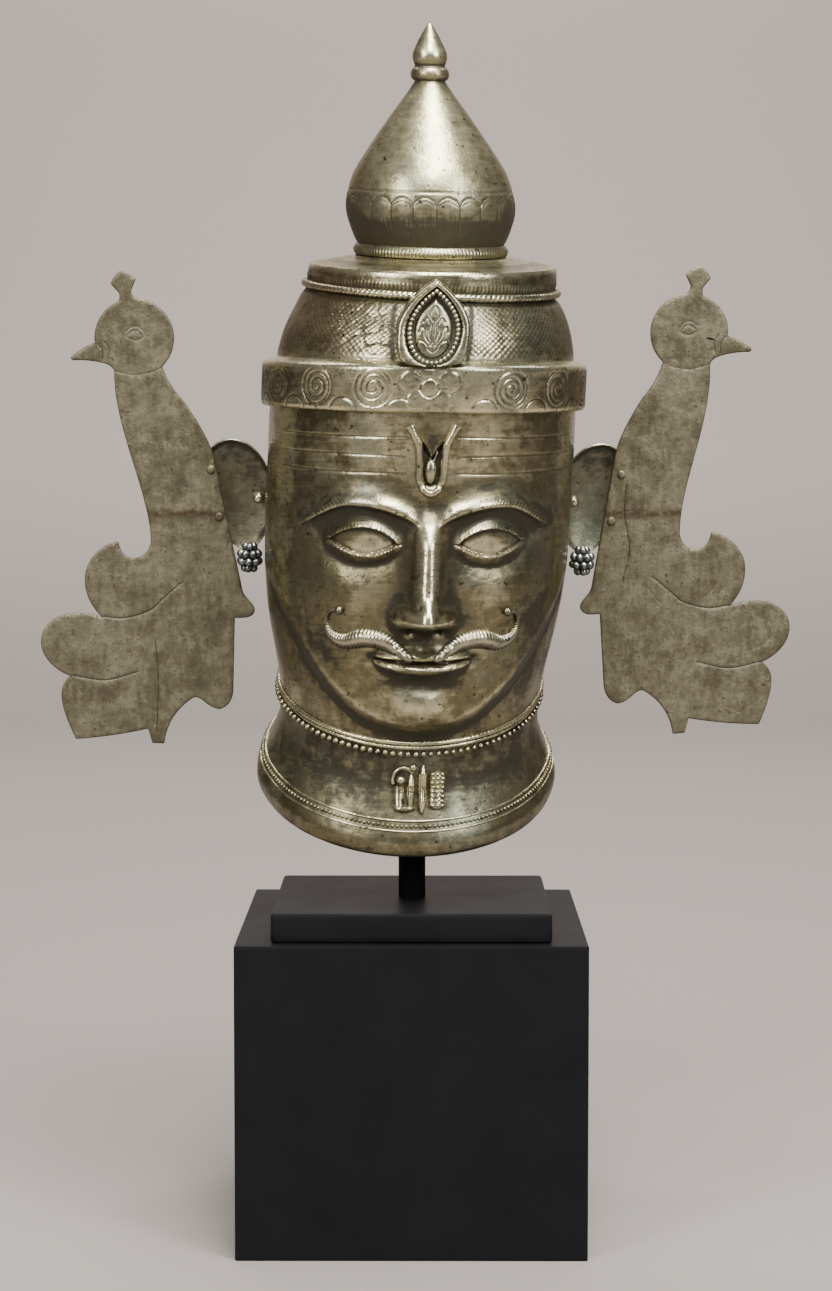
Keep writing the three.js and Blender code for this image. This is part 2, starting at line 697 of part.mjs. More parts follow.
const mask = new THREE.Group();
const head = headGroup();
mask.add(
  head,
  rod(head),
  boxMesh("plinth_step", STEP_WIDTH, STEP_DEPTH, STEP_HEIGHT, STEP_CENTRE_Y, BLOCK_HEIGHT + GAP),
  boxMesh("plinth_block", BLOCK_SIDE, BLOCK_SIDE, BLOCK_HEIGHT, 0, 0),
);

export default mask;
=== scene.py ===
"""Looks of the bronze mask: head with crown and dome, moustache, necklace and flared collar, two peacock
plates on the ears, and the black block, step and rod. Lengths are in millimetres in the head's own frame
until place() or upright() turns them into metres in the part's frame."""

import math

import bpy
import numpy as np
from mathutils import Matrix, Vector, geometry


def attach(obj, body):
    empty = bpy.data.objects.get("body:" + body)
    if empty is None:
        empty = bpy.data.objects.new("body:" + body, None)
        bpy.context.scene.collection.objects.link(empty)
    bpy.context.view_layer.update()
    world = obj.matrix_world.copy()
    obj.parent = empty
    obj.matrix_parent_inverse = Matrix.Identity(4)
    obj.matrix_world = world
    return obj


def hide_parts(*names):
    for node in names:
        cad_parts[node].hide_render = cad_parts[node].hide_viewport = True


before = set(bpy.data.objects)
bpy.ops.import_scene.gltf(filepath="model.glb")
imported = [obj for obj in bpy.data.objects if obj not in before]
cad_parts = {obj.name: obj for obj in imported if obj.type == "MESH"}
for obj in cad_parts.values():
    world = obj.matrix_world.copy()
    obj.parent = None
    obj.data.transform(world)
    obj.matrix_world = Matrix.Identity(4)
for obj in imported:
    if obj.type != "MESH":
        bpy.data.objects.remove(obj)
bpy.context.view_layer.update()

# Stand
BLOCK_SIDE, BLOCK_HEIGHT = 202, 182
STEP_WIDTH, STEP_DEPTH, STEP_HEIGHT, STEP_CENTRE_Y = 161, 145, 16.5, -20
ROD_RADIUS, ROD_Y, ROD_TOP = 8, -28, 573.5
GAP = 0.3

# Directions and fine settings
RIGHT, FLAT = np.array([1.0, 0, 0]), np.array([1, 1, 0])
DENT_WAVES = 14
PROUD_REACHES = ((1, 0.1), (3, 0.35), (9, 1.6))

# Place and tilt of the head
HEAD_PLACE = np.array([-3.4, -12, 275])
HEAD_LEAN, HEAD_ROLL, HEAD_YAW = np.radians([8, 1.3, 4])
SIDE_LEAN, CAP_LEAN = 0.0227, 0.04

# Head
WALL = 4
FOOT_LEVEL = -9.5
BACK_ANGLE = math.radians(118)
HEAD_TOP, HAIRLINE, CHIN = 236, 222, 42
THIRD = (HAIRLINE - CHIN) / 3
BROW = HAIRLINE - THIRD
NOSE_BASE = BROW - THIRD
MOUTH = NOSE_BASE - THIRD / 3
EYE = BROW - 13
EYE_WIDTH = EYE_CENTRE = 178 / 5
MOUTH_HALF = 0.78 * EYE_WIDTH
NECKLACE_LEVEL, HEM_LEVEL = 50, 9.5
NECK_SLOPE, BAND_SLOPE = 0.31, -0.08
SIDE_PROFILE = np.array([
    [84, FOOT_LEVEL], [88, -6.5], [89.2, 0], [87.6, 6], [84, 13], [80.4, 20.5], [77.4, 29], [76.6, 39],
    [77, 48], [78.6, 60], [81.5, 75], [85.6, 95], [88.4, 120], [89.5, 150], [89.3, 180], [88.9, 210],
    [88.3, 236],
])

# Crown and dome
CROWN_DEPTH = 0.985
RING_RISE, RING_TILT = 1.2, 0.024
BAND_RADIUS, BAND_BOTTOM, BAND_TOP = 94.1, 215.5, 241
ROOF = 303
DOME_LEAN, DOME_SHIFT = -0.028, 7.5

# Ears and plates
EAR = dict(x=105, y=18, z=160, half_width=20, half_height=33, lean=0.14, hollow=6, thickness=3)
PLATE_THICKNESS, PLATE_STEP = 3, 2.6
PLATE_PIVOT = np.array([122, 0, 155])
PLATE_TURN = math.radians(2.2)
RIVETS = {"upper": (121.5, 175), "lower": (116.5, 147)}

MEDALLION = dict(x=-3.6, z=270, front=-94.5, half_width=20, rise=25, foot=21.5, backward=0.17)


# Small maths
def smooth(value, low, high):
    """0 below low, 1 above high, an S curve between."""
    t = np.clip((value - low) / (high - low), 0, 1)
    return t * t * (3 - 2 * t)


def bell(distance, width):
    """1 at distance 0, falling off like a bell of that width."""
    return np.exp(-((distance / width) ** 2))


def through(corners, count):
    """Points at equal distances along a Catmull-Rom curve through the corners."""
    c = np.asarray(corners, float)
    c = np.vstack([2 * c[0] - c[1], c, 2 * c[-1] - c[-2]])
    t = np.linspace(0, len(c) - 3, 40 * (len(c) - 3) + 1)
    i = np.minimum(t.astype(int), len(c) - 4)
    f = (t - i)[:, None]
    a, b, d, e = c[i], c[i + 1], c[i + 2], c[i + 3]
    fine = 0.5 * (2 * b + (d - a) * f + (2 * a - 5 * b + 4 * d - e) * f**2 + (3 * b - a - 3 * d + e) * f**3)
    return evenly(fine, count)


def steps_of(line):
    """Lengths of a polyline's steps."""
    return np.linalg.norm(np.diff(line, axis=0), axis=1)


def evenly(line, count):
    """A polyline resampled at equal distances."""
    along = np.r_[0, np.cumsum(steps_of(line))]
    at = np.linspace(0, along[-1], count)
    return np.stack([np.interp(at, along, column) for column in line.T], 1)


def bezier(corners, count):
    """A straight line, quadratic or cubic curve from its two, three or four corners: each pair of
    neighbours is mixed by the share t until one point is left."""
    t = np.linspace(0, 1, count)[:, None]
    points = [np.array(corner, float) for corner in corners]
    while len(points) > 1:
        points = [a * (1 - t) + b * t for a, b in zip(points, points[1:])]
    return points[0]


def full_turn(count):
    """Angles at equal steps once round."""
    return np.linspace(0, 2 * np.pi, count, endpoint=False)


def spread(*coordinates):
    """Points from coordinates spread over each other's rows and columns."""
    return np.stack(np.broadcast_arrays(*coordinates), -1)


def unit(vectors):
    """Each vector at length 1."""
    return vectors / np.linalg.norm(vectors, axis=-1, keepdims=True)


def distance(points, spots):
    """From each point to the nearest of the spots."""
    return np.sqrt(((points[..., None, :] - spots) ** 2).sum(-1)).min(-1)


def turning(axis, angle):
    """Rotation matrix about a main axis."""
    c, s = math.cos(angle), math.sin(angle)
    i, j = [(1, 2), (2, 0), (0, 1)][axis]
    m = np.eye(3)
    m[i, i], m[i, j], m[j, i], m[j, j] = c, -s, s, c
    return m


HEAD_TURN = turning(0, HEAD_LEAN) @ turning(1, HEAD_ROLL) @ turning(2, HEAD_YAW)


def place(points):
    """Head frame in millimetres to the part's frame in metres."""
    return (points @ HEAD_TURN.T + HEAD_PLACE) / 1000


def lean(points):
    """The head's sideways drift: x grows with z, and faster above the band."""
    z = points[..., 2]
    drift = SIDE_LEAN * z + CAP_LEAN * np.maximum(0, z - BAND_TOP)
    return points + drift[..., None] * RIGHT


def on_head(points):
    """Head frame to the part's frame, with the head's sideways drift."""
    return place(lean(points))


def upright(points):
    """The stand's millimetres, already in the part's frame, to metres."""
    return points / 1000


def dents(points, size, seed):
    """Soft unevenness: a mean of sine waves in random directions, each about size millimetres long."""
    rng = np.random.default_rng(seed)
    directions = unit(rng.normal(size=(DENT_WAVES, 3)))
    waves = directions * (2 * np.pi / size) * rng.uniform(0.6, 1.6, (DENT_WAVES, 1))
    return np.sin(points @ waves.T + rng.uniform(0, 6.28, DENT_WAVES)).mean(-1)


# Meshes
def quads(rows, columns, wrap_rows=False, wrap_columns=False):
    """Four-sided faces between neighbouring points of a grid stored row by row."""
    r = np.arange(rows if wrap_rows else rows - 1)[:, None]
    c = np.arange(columns if wrap_columns else columns - 1)[None, :]
    r2, c2 = (r + 1) % rows, (c + 1) % columns
    corners = [r * columns + c, r * columns + c2, r2 * columns + c2, r2 * columns + c]
    return spread(*corners).reshape(-1, 4)


def volume(points, faces):
    """Signed volume inside a closed mesh: positive where its faces point out."""
    total = 0
    for group in faces:
        for k in range(1, group.shape[1] - 1):
            a, b, c = points[group[:, 0]], points[group[:, k]], points[group[:, k + 1]]
            total += np.einsum("ij,ij->i", a, np.cross(b, c)).sum() / 6
    return total


def stepped(grid, axis, step, wrap):
    """The grid moved along one axis by a step, wrapping or holding at its ends."""
    if wrap:
        return np.roll(grid, step, axis)
    count = grid.shape[axis]
    return np.take(grid, np.clip(np.arange(count) - step, 0, count - 1), axis)


def closed_faces(rows, columns):
    """Faces of a stack of rings, closed at both ends by fans to the last two points."""
    here = np.arange(columns)
    after = (here + 1) % columns
    foot, last = rows * columns, (rows - 1) * columns
    fans = np.vstack([spread(foot, after, here), spread(foot + 1, last + here, last + after)])
    return [quads(rows, columns, False, True), fans]


def proudness(grid, sign, wrap_rows, wrap_columns):
    """0 in hollows to 1 on high places: each point's height over the mean of its neighbours at a few
    reaches, along the surface's normal, squeezed through tanh."""
    across = stepped(grid, 1, -1, wrap_columns) - stepped(grid, 1, 1, wrap_columns)
    down = stepped(grid, 0, -1, wrap_rows) - stepped(grid, 0, 1, wrap_rows)
    normal = np.cross(across, down)
    normal *= sign / np.maximum(np.linalg.norm(normal, axis=-1, keepdims=True), 1e-9)
    total = 0
    for reach, scale in PROUD_REACHES:
        beside = sum(stepped(grid, 1, way * reach, wrap_columns) for way in (1, -1))
        mean = (beside + sum(stepped(grid, 0, way * reach, wrap_rows) for way in (1, -1))) / 4
        total = total + np.tanh(((grid - mean) * normal).sum(-1) / scale) / len(PROUD_REACHES)
    return 0.5 + 0.5 * total


def tube(rings, wrap=False, bright=None):
    """One closed body from rings of equal count: (points, face groups, wear). Its two ends are closed by
    fans, or the last ring is joined to the first."""
    rows, columns = rings.shape[:2]
    points = rings.reshape(-1, 3)
    if wrap:
        faces = [quads(rows, columns, True, True)]
    else:
        points = np.vstack([points, rings[0].mean(0), rings[-1].mean(0)])
        faces = closed_faces(rows, columns)
    sign = 1 if volume(points, faces) > 0 else -1
    if sign < 0:
        faces = [group[:, ::-1] for group in faces]
    wear_and_shade = np.full(len(points), 0.5)
    wear_and_shade[:rows * columns] = proudness(rings, sign, wrap, True).ravel() if bright is None else bright
    return points, faces, wear_and_shade


def balls(centres, radii, rows=6, columns=8, bright=0.62):
    """Small round bodies at many centres, each a stack of rings from pole to pole. The radii are one
    number, three for x, y and z, or a row for each ball."""
    centres = np.atleast_2d(centres)
    radii = np.broadcast_to(radii, (len(centres), 3))
    up = np.linspace(0, np.pi, rows + 1)[1:-1, None]
    turn = full_turn(columns)
    rings = spread(np.sin(up) * np.cos(turn), np.sin(up) * np.sin(turn), np.cos(up))
    ball = np.vstack([rings.reshape(-1, 3), [[0, 0, 1], [0, 0, -1]]])
    shift = (np.arange(len(centres)) * len(ball))[:, None, None]
    points = (centres[:, None] + ball * radii[:, None]).reshape(-1, 3)
    faces = [(group + shift).reshape(-1, group.shape[1]) for group in closed_faces(rows - 1, columns)]
    if volume(points, faces) < 0:
        faces = [group[:, ::-1] for group in faces]
    return points, faces, np.full(len(points), bright)


def rod_along(path, half_height, half_depth, outward, sides=14, bright=None):
    """A rod of oval section along a path: half_depth along outward, half_height across it. Each is one
    number, one for each point of the path, or a row for each point."""
    tangent = unit(np.gradient(path, axis=0))
    out = unit(outward - (outward * tangent).sum(1, keepdims=True) * tangent)
    across = np.cross(tangent, out)
    turn = full_turn(sides)
    high, deep = (size[:, None] if np.ndim(size) == 1 else size for size in (half_height, half_depth))
    rings = path[:, None] + across[:, None] * (high * np.cos(turn))[..., None]
    return tube(rings + out[:, None] * (deep * np.sin(turn))[..., None], bright=bright)


def dull(body, amount):
    """The body with its wear lowered, by a number or by a function of its points."""
    points, faces, wear_and_shade = body
    return points, faces, wear_and_shade - (amount(points) if callable(amount) else amount)


def facing_light_and_shade(facing):
    """Painted light and shade from how a surface lies: fronts and tops get a painted highlight, sides and
    undersides get painted shade.
    """
    front, top = -facing[:, 1], facing[:, 2]
    return -0.2 * (1 - smooth(front, 0.25, 0.8)) + 0.22 * (smooth(top, 0.1, 0.7) - smooth(-top, 0.1, 0.6))


def joined(parts):
    """Several bodies as one set of points, faces and wear."""
    points, groups, wear_and_shade, start = [], {}, [], 0
    for p, faces, w in parts:
        points.append(p)
        wear_and_shade.append(w)
        for group in faces:
            groups.setdefault(group.shape[1], []).append(group + start)
        start += len(p)
    return np.vstack(points), [np.vstack(g) for g in groups.values()], np.concatenate(wear_and_shade)


def show(name, parts, finish, stands_for, put=on_head, sharp=40):
    """One finished object in the part's frame, riding on the body, with its worn places and the painted
    light and shade of its facing as one point attribute.
    Edges sharper than that many degrees stay hard."""
    points, faces, wear_and_shade = joined(parts)
    points = put(points)
    if volume(points, faces) < 0:
        faces = [group[:, ::-1] for group in faces]
    mesh = bpy.data.meshes.new(name)
    mesh.from_pydata(points.tolist(), [], [face for group in faces for face in group.tolist()])
    mesh.validate()
    mesh.shade_smooth()
    mesh.set_sharp_from_angle(angle=math.radians(sharp))
    facing = np.empty(3 * len(points), np.float32)
    mesh.vertices.foreach_get("normal", facing)
    # painted highlight on fronts and tops and painted shade on sides and undersides, added to the worn
    # places
    wear_and_shade = wear_and_shade + facing_light_and_shade(facing.reshape(-1, 3))
    mesh.attributes.new("wear_and_shade", "FLOAT", "POINT").data.foreach_set("value", wear_and_shade.astype(np.float32))
    mesh.materials.append(finish)
    piece = bpy.data.objects.new(name, mesh)
    bpy.context.scene.collection.objects.link(piece)
    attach(piece, "root")
    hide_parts(*stands_for)


# Head
SIDES = through(SIDE_PROFILE, 600)


def half_width(level):
    """Half-width of head and collar at a level."""
    return np.interp(level, SIDES[:, 1], SIDES[:, 0])


def slope(level):
    """Rise of a ring for each millimetre backwards: dipping in front at the neck, rising at the band."""
    neck = 1 - smooth(level, 50, 110)
    band = smooth(level, 140, BAND_BOTTOM) * (1 - smooth(level, BAND_TOP + 4, 281))
    return NECK_SLOPE * neck + BAND_SLOPE * band


def depth_ratio(level):
    """Half-depth of the head's oval over its half-width."""
    return 0.965 + 0.02 * smooth(level, 150, HAIRLINE)


def radial(points):
    """Directions straight out from the head's axis."""
    return unit(points * FLAT)


def large_forms(x, z):
    """Nose, sockets, lips' mound, chin, cheeks and brow bone as heights over the head's plain oval."""
    side = np.abs(x)
    jaw = CHIN - 4 + 60 * (side / 76) ** 2.4
    throat = -6 * (1 - smooth(z, jaw - 5, jaw + 7))
    span = smooth(z, NOSE_BASE - 8, NOSE_BASE + 8) * (1 - smooth(z, BROW - 14, BROW + 10))
    socket = -6 * bell(side - EYE_CENTRE, 24) * bell(z - EYE, 15)
    lips = 5 * bell(x, 34) * bell(z - MOUTH, 22)
    chin = 7 * bell(x, 19) * bell(z - CHIN - 11, 13)
    cheek = 4 * bell(side - 50, 22) * bell(z - 115, 24)
    bone = 3 * bell(side - 36, 30) * bell(z - BROW - 6, 10)
    return throat + 10 * bell(x, 13) * span + socket + lips + chin + cheek + bone


def brow_forms(side, z):
    """An arched ledge, sharp below and soft above, that thins towards its outer end; fine slanting hairs
    are cut over its edge."""
    line = BROW + 9 * np.sin(np.pi * (side - 6) / 66) - 6 * smooth(side, 45, 72)
    fade = smooth(side, 4, 13) * (1 - smooth(side, 63, 73))
    up = z - line
    ledge = 3.8 * bell(up, np.where(up > 0, 6 - 2 * smooth(side, 30, 70), 2.2))
    hairs = 0.26 * np.sin(2 * np.pi * (0.9 * side - 0.5 * up) / 1.7) * bell(up - 1.5, 2.4)
    return (ledge + hairs - 0.5 * bell(up + 3, 0.9)) * fade


def mark_recess(x, z):
    """The field inside the mark: sunk, but for a tongue of skin that hangs from above to a point."""
    side = np.abs(x)
    inside_mark = smooth(6.2 - side, 0, 1.2) * smooth(z, 180, 183) * (1 - smooth(z, 205, 208))
    return -2.6 * inside_mark * smooth(side - 0.7 * (z - 198.5), 0, 1.2)


def eye_forms(side, z):
    """A round ball under the lids, an almond opening one step lower than they are, a thin notched rim
    round it and a fold over the upper lid."""
    along = (side - EYE_CENTRE) / (EYE_WIDTH / 2)
    above = z - EYE
    width = np.maximum(0, 1 - along**2)
    opening = np.where(above > 0, 8.2 * width**0.8, 6 * width**0.9)
    ball = 8.5 * np.maximum(0, 1 - (0.8 * along) ** 2 - (above / np.where(above > 0, 17, 14)) ** 2) ** 1.25
    ends = bell(np.maximum(0, np.abs(along) - 1), 0.16)
    gap = np.abs(above) - opening
    lid = 1.3 * smooth(gap, -0.4, 0.7) * bell(np.maximum(0, gap - 1.5), 3.6) * ends
    rim = (0.8 * bell(gap - 1.2, 0.9) + 0.2 * np.sin(2 * np.pi * side / 1.9) * bell(gap - 2.4, 0.9)) * ends
    corner = -1.2 * bell(np.abs(along) - 0.97, 0.1) * bell(above, 2.2)
    fold = -0.9 * bell(above - opening - 6, 1.5) * (above > 0)
    fold = fold * bell(np.maximum(0, np.abs(along) - 0.7), 0.3)
    return ball + lid + rim + corner + fold


def nose_forms(x, z):
    """Round-backed bridge that widens downwards, a rounded tip and two wings, each nostril hollowed under
    its wing."""
    side = np.abs(x)
    up = z - NOSE_BASE
    down = np.clip((BROW - z) / (BROW - NOSE_BASE - 7), 0, 1)
    span = smooth(up, -3, 7) * (1 - smooth(z, BROW - 10, BROW + 8))
    ridge = (3 + 13 * down**1.2) * np.exp(-((side / (8 + 3.4 * down)) ** 3)) * span
    tip = 5.5 * np.exp(-(np.hypot(x / 9, (up - 9) / 8.5) ** 3))
    wing = 7.5 * np.exp(-(np.hypot((side - 12.4) / 6, (up - 6) / 7) ** 3))
    nostril = -6 * bell(side - 8.4, 3) * bell(up + 0.8, 2.4)
    return ridge + tip + wing + nostril


def lip_forms(x, z):
    """Two rolls that thin to the corners on either side of a parting line, the upper one bowed, with the
    groove under the nose and a dip under the lower lip."""
    side = np.abs(x)
    share = np.clip(side / MOUTH_HALF, 0, 1)
    above = z - MOUTH - 1.4 * share**2
    full = np.sqrt(1 - share**2.4)
    upper_height = 7.4 * full + 0.6 * bell(side - 7, 4) - 0.7 * bell(x, 2.6) + 0.6
    lower_height = 8.6 * full + 0.6
    up, down = above / upper_height, -above / lower_height
    roll = 4.8 * np.where(above > 0, bell(up - 0.4, 0.38), 1.2 * bell(down - 0.42, 0.4)) * full**0.8
    border = 0.5 * (bell(up - 1.02, 0.09) * (above > 0) + bell(down - 1.02, 0.08) * (above < 0)) * full
    parting = -2 * bell(above, 0.9) * smooth(MOUTH_HALF + 2 - side, 0, 5)
    corner = -1.4 * bell(side - MOUTH_HALF - 0.5, 3) * bell(above, 3)
    under = -2 * bell(side, 18) * bell(above + 14.5, 4.6)
    groove = -1.2 * bell(x, 2.6) * bell(z - 95, 4.5)
    return roll + border + parting + corner + under + groove


def face_forms(x, z):
    """All forms of the face as one height over the head's plain oval."""
    side = np.abs(x)
    features = brow_forms(side, z) + eye_forms(side, z) + nose_forms(x, z) + lip_forms(x, z)
    return large_forms(x, z) + features + mark_recess(x, z)


FOREHEAD_LINES = (202.4, 192.8, 184.2)


def forehead_lines(level, x):
    """Three level lines cut on each side of the forehead, stopping short of the mark."""
    spans = smooth(np.abs(x), 13, 15) * (1 - smooth(np.abs(x), 80, 84))
    wavering = [level - line - 0.3 * np.sin(x / 17 + line) for line in FOREHEAD_LINES]
    return -0.34 * sum(bell(off, 0.5) for off in wavering) * spans


def head_points(level, angle, half, inset, forms):
    """Points of a ring round the head: an oval of the given half-width, its front raised by the forms."""
    x = (half - inset) * np.sin(angle)
    y = -(half * depth_ratio(level) - inset) * np.cos(angle)
    z = level + slope(level) * y
    return spread(x, y - forms(x, z) * smooth(-y, 2, 30), z)


def skin(level, angle, proud=0):
    """Points of the outer skin, standing proud of it by so much."""
    return head_points(level, angle, half_width(level), -proud, face_forms)


def face_at(x, z, proud):
    """The point of the face at x, z, standing proud of it; its level is found by repeated correction."""
    first_guess, rounds = -80.0, 14
    x, z = np.broadcast_arrays(np.asarray(x, float), np.asarray(z, float))
    y, level = np.full(x.shape, first_guess), z
    for _ in range(rounds):
        level = z - slope(level) * y
        half = half_width(level)
        y = -half * depth_ratio(level) * np.sqrt(np.maximum(0, 1 - (x / half) ** 2))
    return np.stack([x, y - face_forms(x, z) * smooth(-y, 2, 30) - proud, z], -1)


def skin_levels(rows):
    """Levels of the skin's rows: even over the neck, the face and the forehead, five more at each line."""
    marks = np.concatenate([line + np.array([-1.2, -0.6, 0, 0.6, 1.2]) for line in FOREHEAD_LINES])
    neck = np.linspace(FOOT_LEVEL, 57, 62, endpoint=False)
    forehead = np.linspace(176, HEAD_TOP, 40)
    face = np.linspace(57, 176, rows - len(marks) - len(neck) - len(forehead), endpoint=False)
    return np.sort(np.concatenate([neck, face, forehead, marks]))


def skin_wear_and_shade(outer, level):
    """Wear and painted light of the skin: bright where proud; worn bright with a painted highlight on the
    eyeballs; a painted highlight on the forehead either side of the mark; painted shade on the sides of the
    cheeks, in the sockets under the brows and under the crown band; darker below the necklace, towards the
    collar's foot and in the field of the mark."""
    side, z = np.abs(outer[..., 0]), outer[..., 2]
    field = np.maximum(np.hypot(outer[..., 0] / 7, (z - 196) / 17) - 0.5, 0)
    # painted shade on the sides of the cheeks
    cheek_side_shade = smooth(side, 34, 66) * (1 - smooth(level, 160, 185)) * smooth(level, 58, 80)
    # worn bright and a painted highlight on each eyeball, brightest at its middle
    eyeball_highlight = smooth(1 - np.hypot((side - 33) / 14, (z - 147) / 8), 0, 0.5)
    # painted shade in each socket under the brow ledge
    socket = bell(np.hypot((side - 33) / 26, (z - 161) / 7), 1) * (1 - eyeball_highlight)
    # darker below the necklace and towards the collar's foot; at the top, painted shade under the crown band
    edges = 0.22 * (1 - smooth(level, 46, 60)) + 0.1 * (1 - smooth(level, 0, 14))
    edges = edges + 0.4 * smooth(level, 208, HEAD_TOP)
    wear_and_shade = proudness(outer, 1, False, False) - edges - 0.16 * cheek_side_shade - 0.45 * bell(field, 0.5)
    # painted highlight on the forehead either side of the mark
    wear_and_shade = wear_and_shade + 0.13 * bell(side - 26, 16) * smooth(z, 182, 198)
    return np.maximum(wear_and_shade, 0.14 + 0.16 * smooth(side, 50, 75)) + 0.28 * eyeball_highlight - 0.3 * socket


def inner_forms(x, z):
    """The face's large forms as the inner wall follows them."""
    return large_forms(x, z) - WALL + 0.5


def face_mask():
    """Outer skin and inner wall as two grids over level and angle, joined along all their edges; share
    rows of the skin meet one row of the wall."""
    share, inner_rows = 7, 40
    rows = share * (inner_rows - 1) + 1
    levels = skin_levels(rows)
    front = math.asin(74 / 88)
    side = np.linspace(front, BACK_ANGLE, 24)[1:]
    angles = np.concatenate([-side[::-1], np.linspace(-front, front, 231), side])
    outer = skin(levels[:, None], angles[None, :])
    relief = forehead_lines(levels[:, None], outer[..., 0])
    relief = relief + 0.14 * dents(outer, 16, 3) + 0.3 * dents(outer, 55, 4)
    outer = outer + relief[..., None] * radial(outer)
    low = levels[::share]
    half = np.where(low < 45, np.maximum(77, 88 - 0.5 * (low + 10)), half_width(low))
    inner = head_points(low[:, None], angles[None, :], half[:, None], WALL, inner_forms)
    columns = len(angles)
    base = rows * columns
    top, inner_top = (rows - 1) * columns, base + (inner_rows - 1) * columns
    c = np.arange(columns - 1)
    head_edge = np.stack([top + c, top + c + 1, inner_top + c + 1, inner_top + c], 1)
    foot_edge = np.stack([c + 1, c, base + c, base + c + 1], 1)
    grids = [quads(rows, columns), quads(inner_rows, columns)[:, ::-1] + base]
    k = np.arange(inner_rows - 1)[:, None]
    left = np.hstack([k * share + np.arange(share + 1), rows + k + 1, rows + k]) * columns
    right = (left + columns - 1)[:, ::-1]
    faces = [np.vstack(grids + [head_edge, foot_edge]), np.vstack([left, right])]
    wear_and_shade = np.r_[skin_wear_and_shade(outer, levels[:, None]).ravel(), np.full(inner_rows * columns, 0.35)]
    return np.vstack([outer.reshape(-1, 3), inner.reshape(-1, 3)]), faces, wear_and_shade


def moustache(side):
    """A wing on a curve over the lip: low in the middle, over a hump, down and up into a curl with a ball.
    Slanting cuts run over it like combed hair; its upper side has a painted highlight and its underside
    painted shade."""
    route = [
        [7, 84.5], [13, 88.5], [22, 93.5], [33, 94.5], [43, 91.5], [50.5, 94], [54, 101], [52.5, 108],
        [47.5, 109.5],
    ]
    count, sides = 420, 30
    line = through(route, count)
    t = np.linspace(0, 1, count)
    size = 1.4 + 3.9 * np.sin(np.pi * np.clip(0.05 + 1.18 * t, 0, 1)) ** 0.9
    path = face_at(side * line[:, 0], line[:, 1], 0.6)
    cuts = np.sin(2 * np.pi * 38 * t[:, None] + 2.2 * side * full_turn(sides))
    combed = 0.34 * cuts * (smooth(t, 0.01, 0.06) * (1 - smooth(t, 0.8, 0.95)))[:, None]
    points, faces, wear_and_shade = rod_along(path, size[:, None] + combed, 0.85 * size, radial(path), sides)
    up = np.zeros(len(wear_and_shade))
    heights = points[:count * sides, 2].reshape(count, sides)
    up[:count * sides] = ((heights - path[:, 2:]) / size[:, None]).ravel()
    # painted highlight on the wing's upper side, painted shade on its underside
    body = points, faces, wear_and_shade + 0.24 * smooth(up, 0, 0.7) - 0.3 * smooth(-up, 0.1, 0.6)
    tip_x, tip_z = route[-1]
    return joined([body, balls(face_at(side * tip_x, tip_z, 1.6), 2.6, 12, 16, 0.6)])


def forehead_mark():
    """A U of thick wire with splayed tips, an oval drop inside it and two prongs up to the tongue."""
    arm = [[-13.2, 215.6], [-10.6, 210.6], [-7.8, 204.5], [-7, 195], [-6.7, 187], [-4.3, 180.4], [0, 177.8]]
    route = arm + [[-x, z] for x, z in arm[-2::-1]]
    line = through(route, 190)
    path = face_at(line[:, 0], line[:, 1], 1.3)
    t = np.linspace(-1, 1, 190)
    wire = rod_along(path, 2.2 + 0.4 * smooth(np.abs(t), 0.86, 1), 2.2, radial(path), 18)
    up = np.linspace(0, 1, 26)
    drop_path = face_at(0 * up - 0.4, 183.2 + 13.5 * up, 1.8)
    swell = 0.2 + 3.3 * np.sqrt(np.sin(np.pi * np.clip(up, 0.002, 0.998)))
    drop = rod_along(drop_path, swell, 0.8 * swell, radial(drop_path), 22)
    prongs = []
    for xs, zs in (((-1, -0.6), (195.5, 200)), ((1, 3), (195.5, 201))):
        prong_path = face_at(np.linspace(*xs, 8), np.linspace(*zs, 8), 1.6)
        prongs.append(rod_along(prong_path, 0.5, 0.5, np.array([[0, -1.0, 0]]), 8, 0.7))
    return dull(joined([wire, drop] + prongs), 0.1)


def ring_beads(level, pitch, radius, proud, fade=0):
    """Beads at an even pitch round the head at one level, smaller to the right by the share fade."""
    line = skin(level, np.linspace(-BACK_ANGLE + 0.03, BACK_ANGLE - 0.03, 900), proud)
    spots = evenly(line, int(steps_of(line).sum() / pitch))
    return balls(spots, radius * (1 - fade * smooth(spots[:, :1], -20, 50)))


def ring_cord(level, radius, proud, twists, count=620):
    """A two-strand cord round the head at one level."""
    line = skin(level, np.linspace(-BACK_ANGLE + 0.015, BACK_ANGLE - 0.015, count), proud)
    strands = np.linspace(0, 2 * np.pi * twists, count)[:, None]
    size = radius * (0.86 + 0.2 * np.abs(np.cos(full_turn(10) - strands)))
    return rod_along(line, size, radius, radial(line), 10)


def necklace():
    """Two twisted cords and a row of beads on the ridge of the neck."""
    upper = ring_cord(NECKLACE_LEVEL + 4, 1.5, 0.2, 60)
    lower = ring_cord(NECKLACE_LEVEL + 1.5, 1.2, 0.2, 70)
    return joined([upper, lower, ring_beads(NECKLACE_LEVEL - 1.9, 4.3, 1.95, 1.3, 0.28)])


def hem():
    """The beaded line on the collar's flare, between two thin ridges."""
    upper = ring_cord(HEM_LEVEL + 2.6, 0.8, 0.1, 1, 260)
    lower = ring_cord(HEM_LEVEL - 2.2, 0.7, 0.1, 1, 260)
    return dull(joined([upper, lower, ring_beads(HEM_LEVEL + 0.3, 2.7, 1.15, 0.3)]), 0.14)


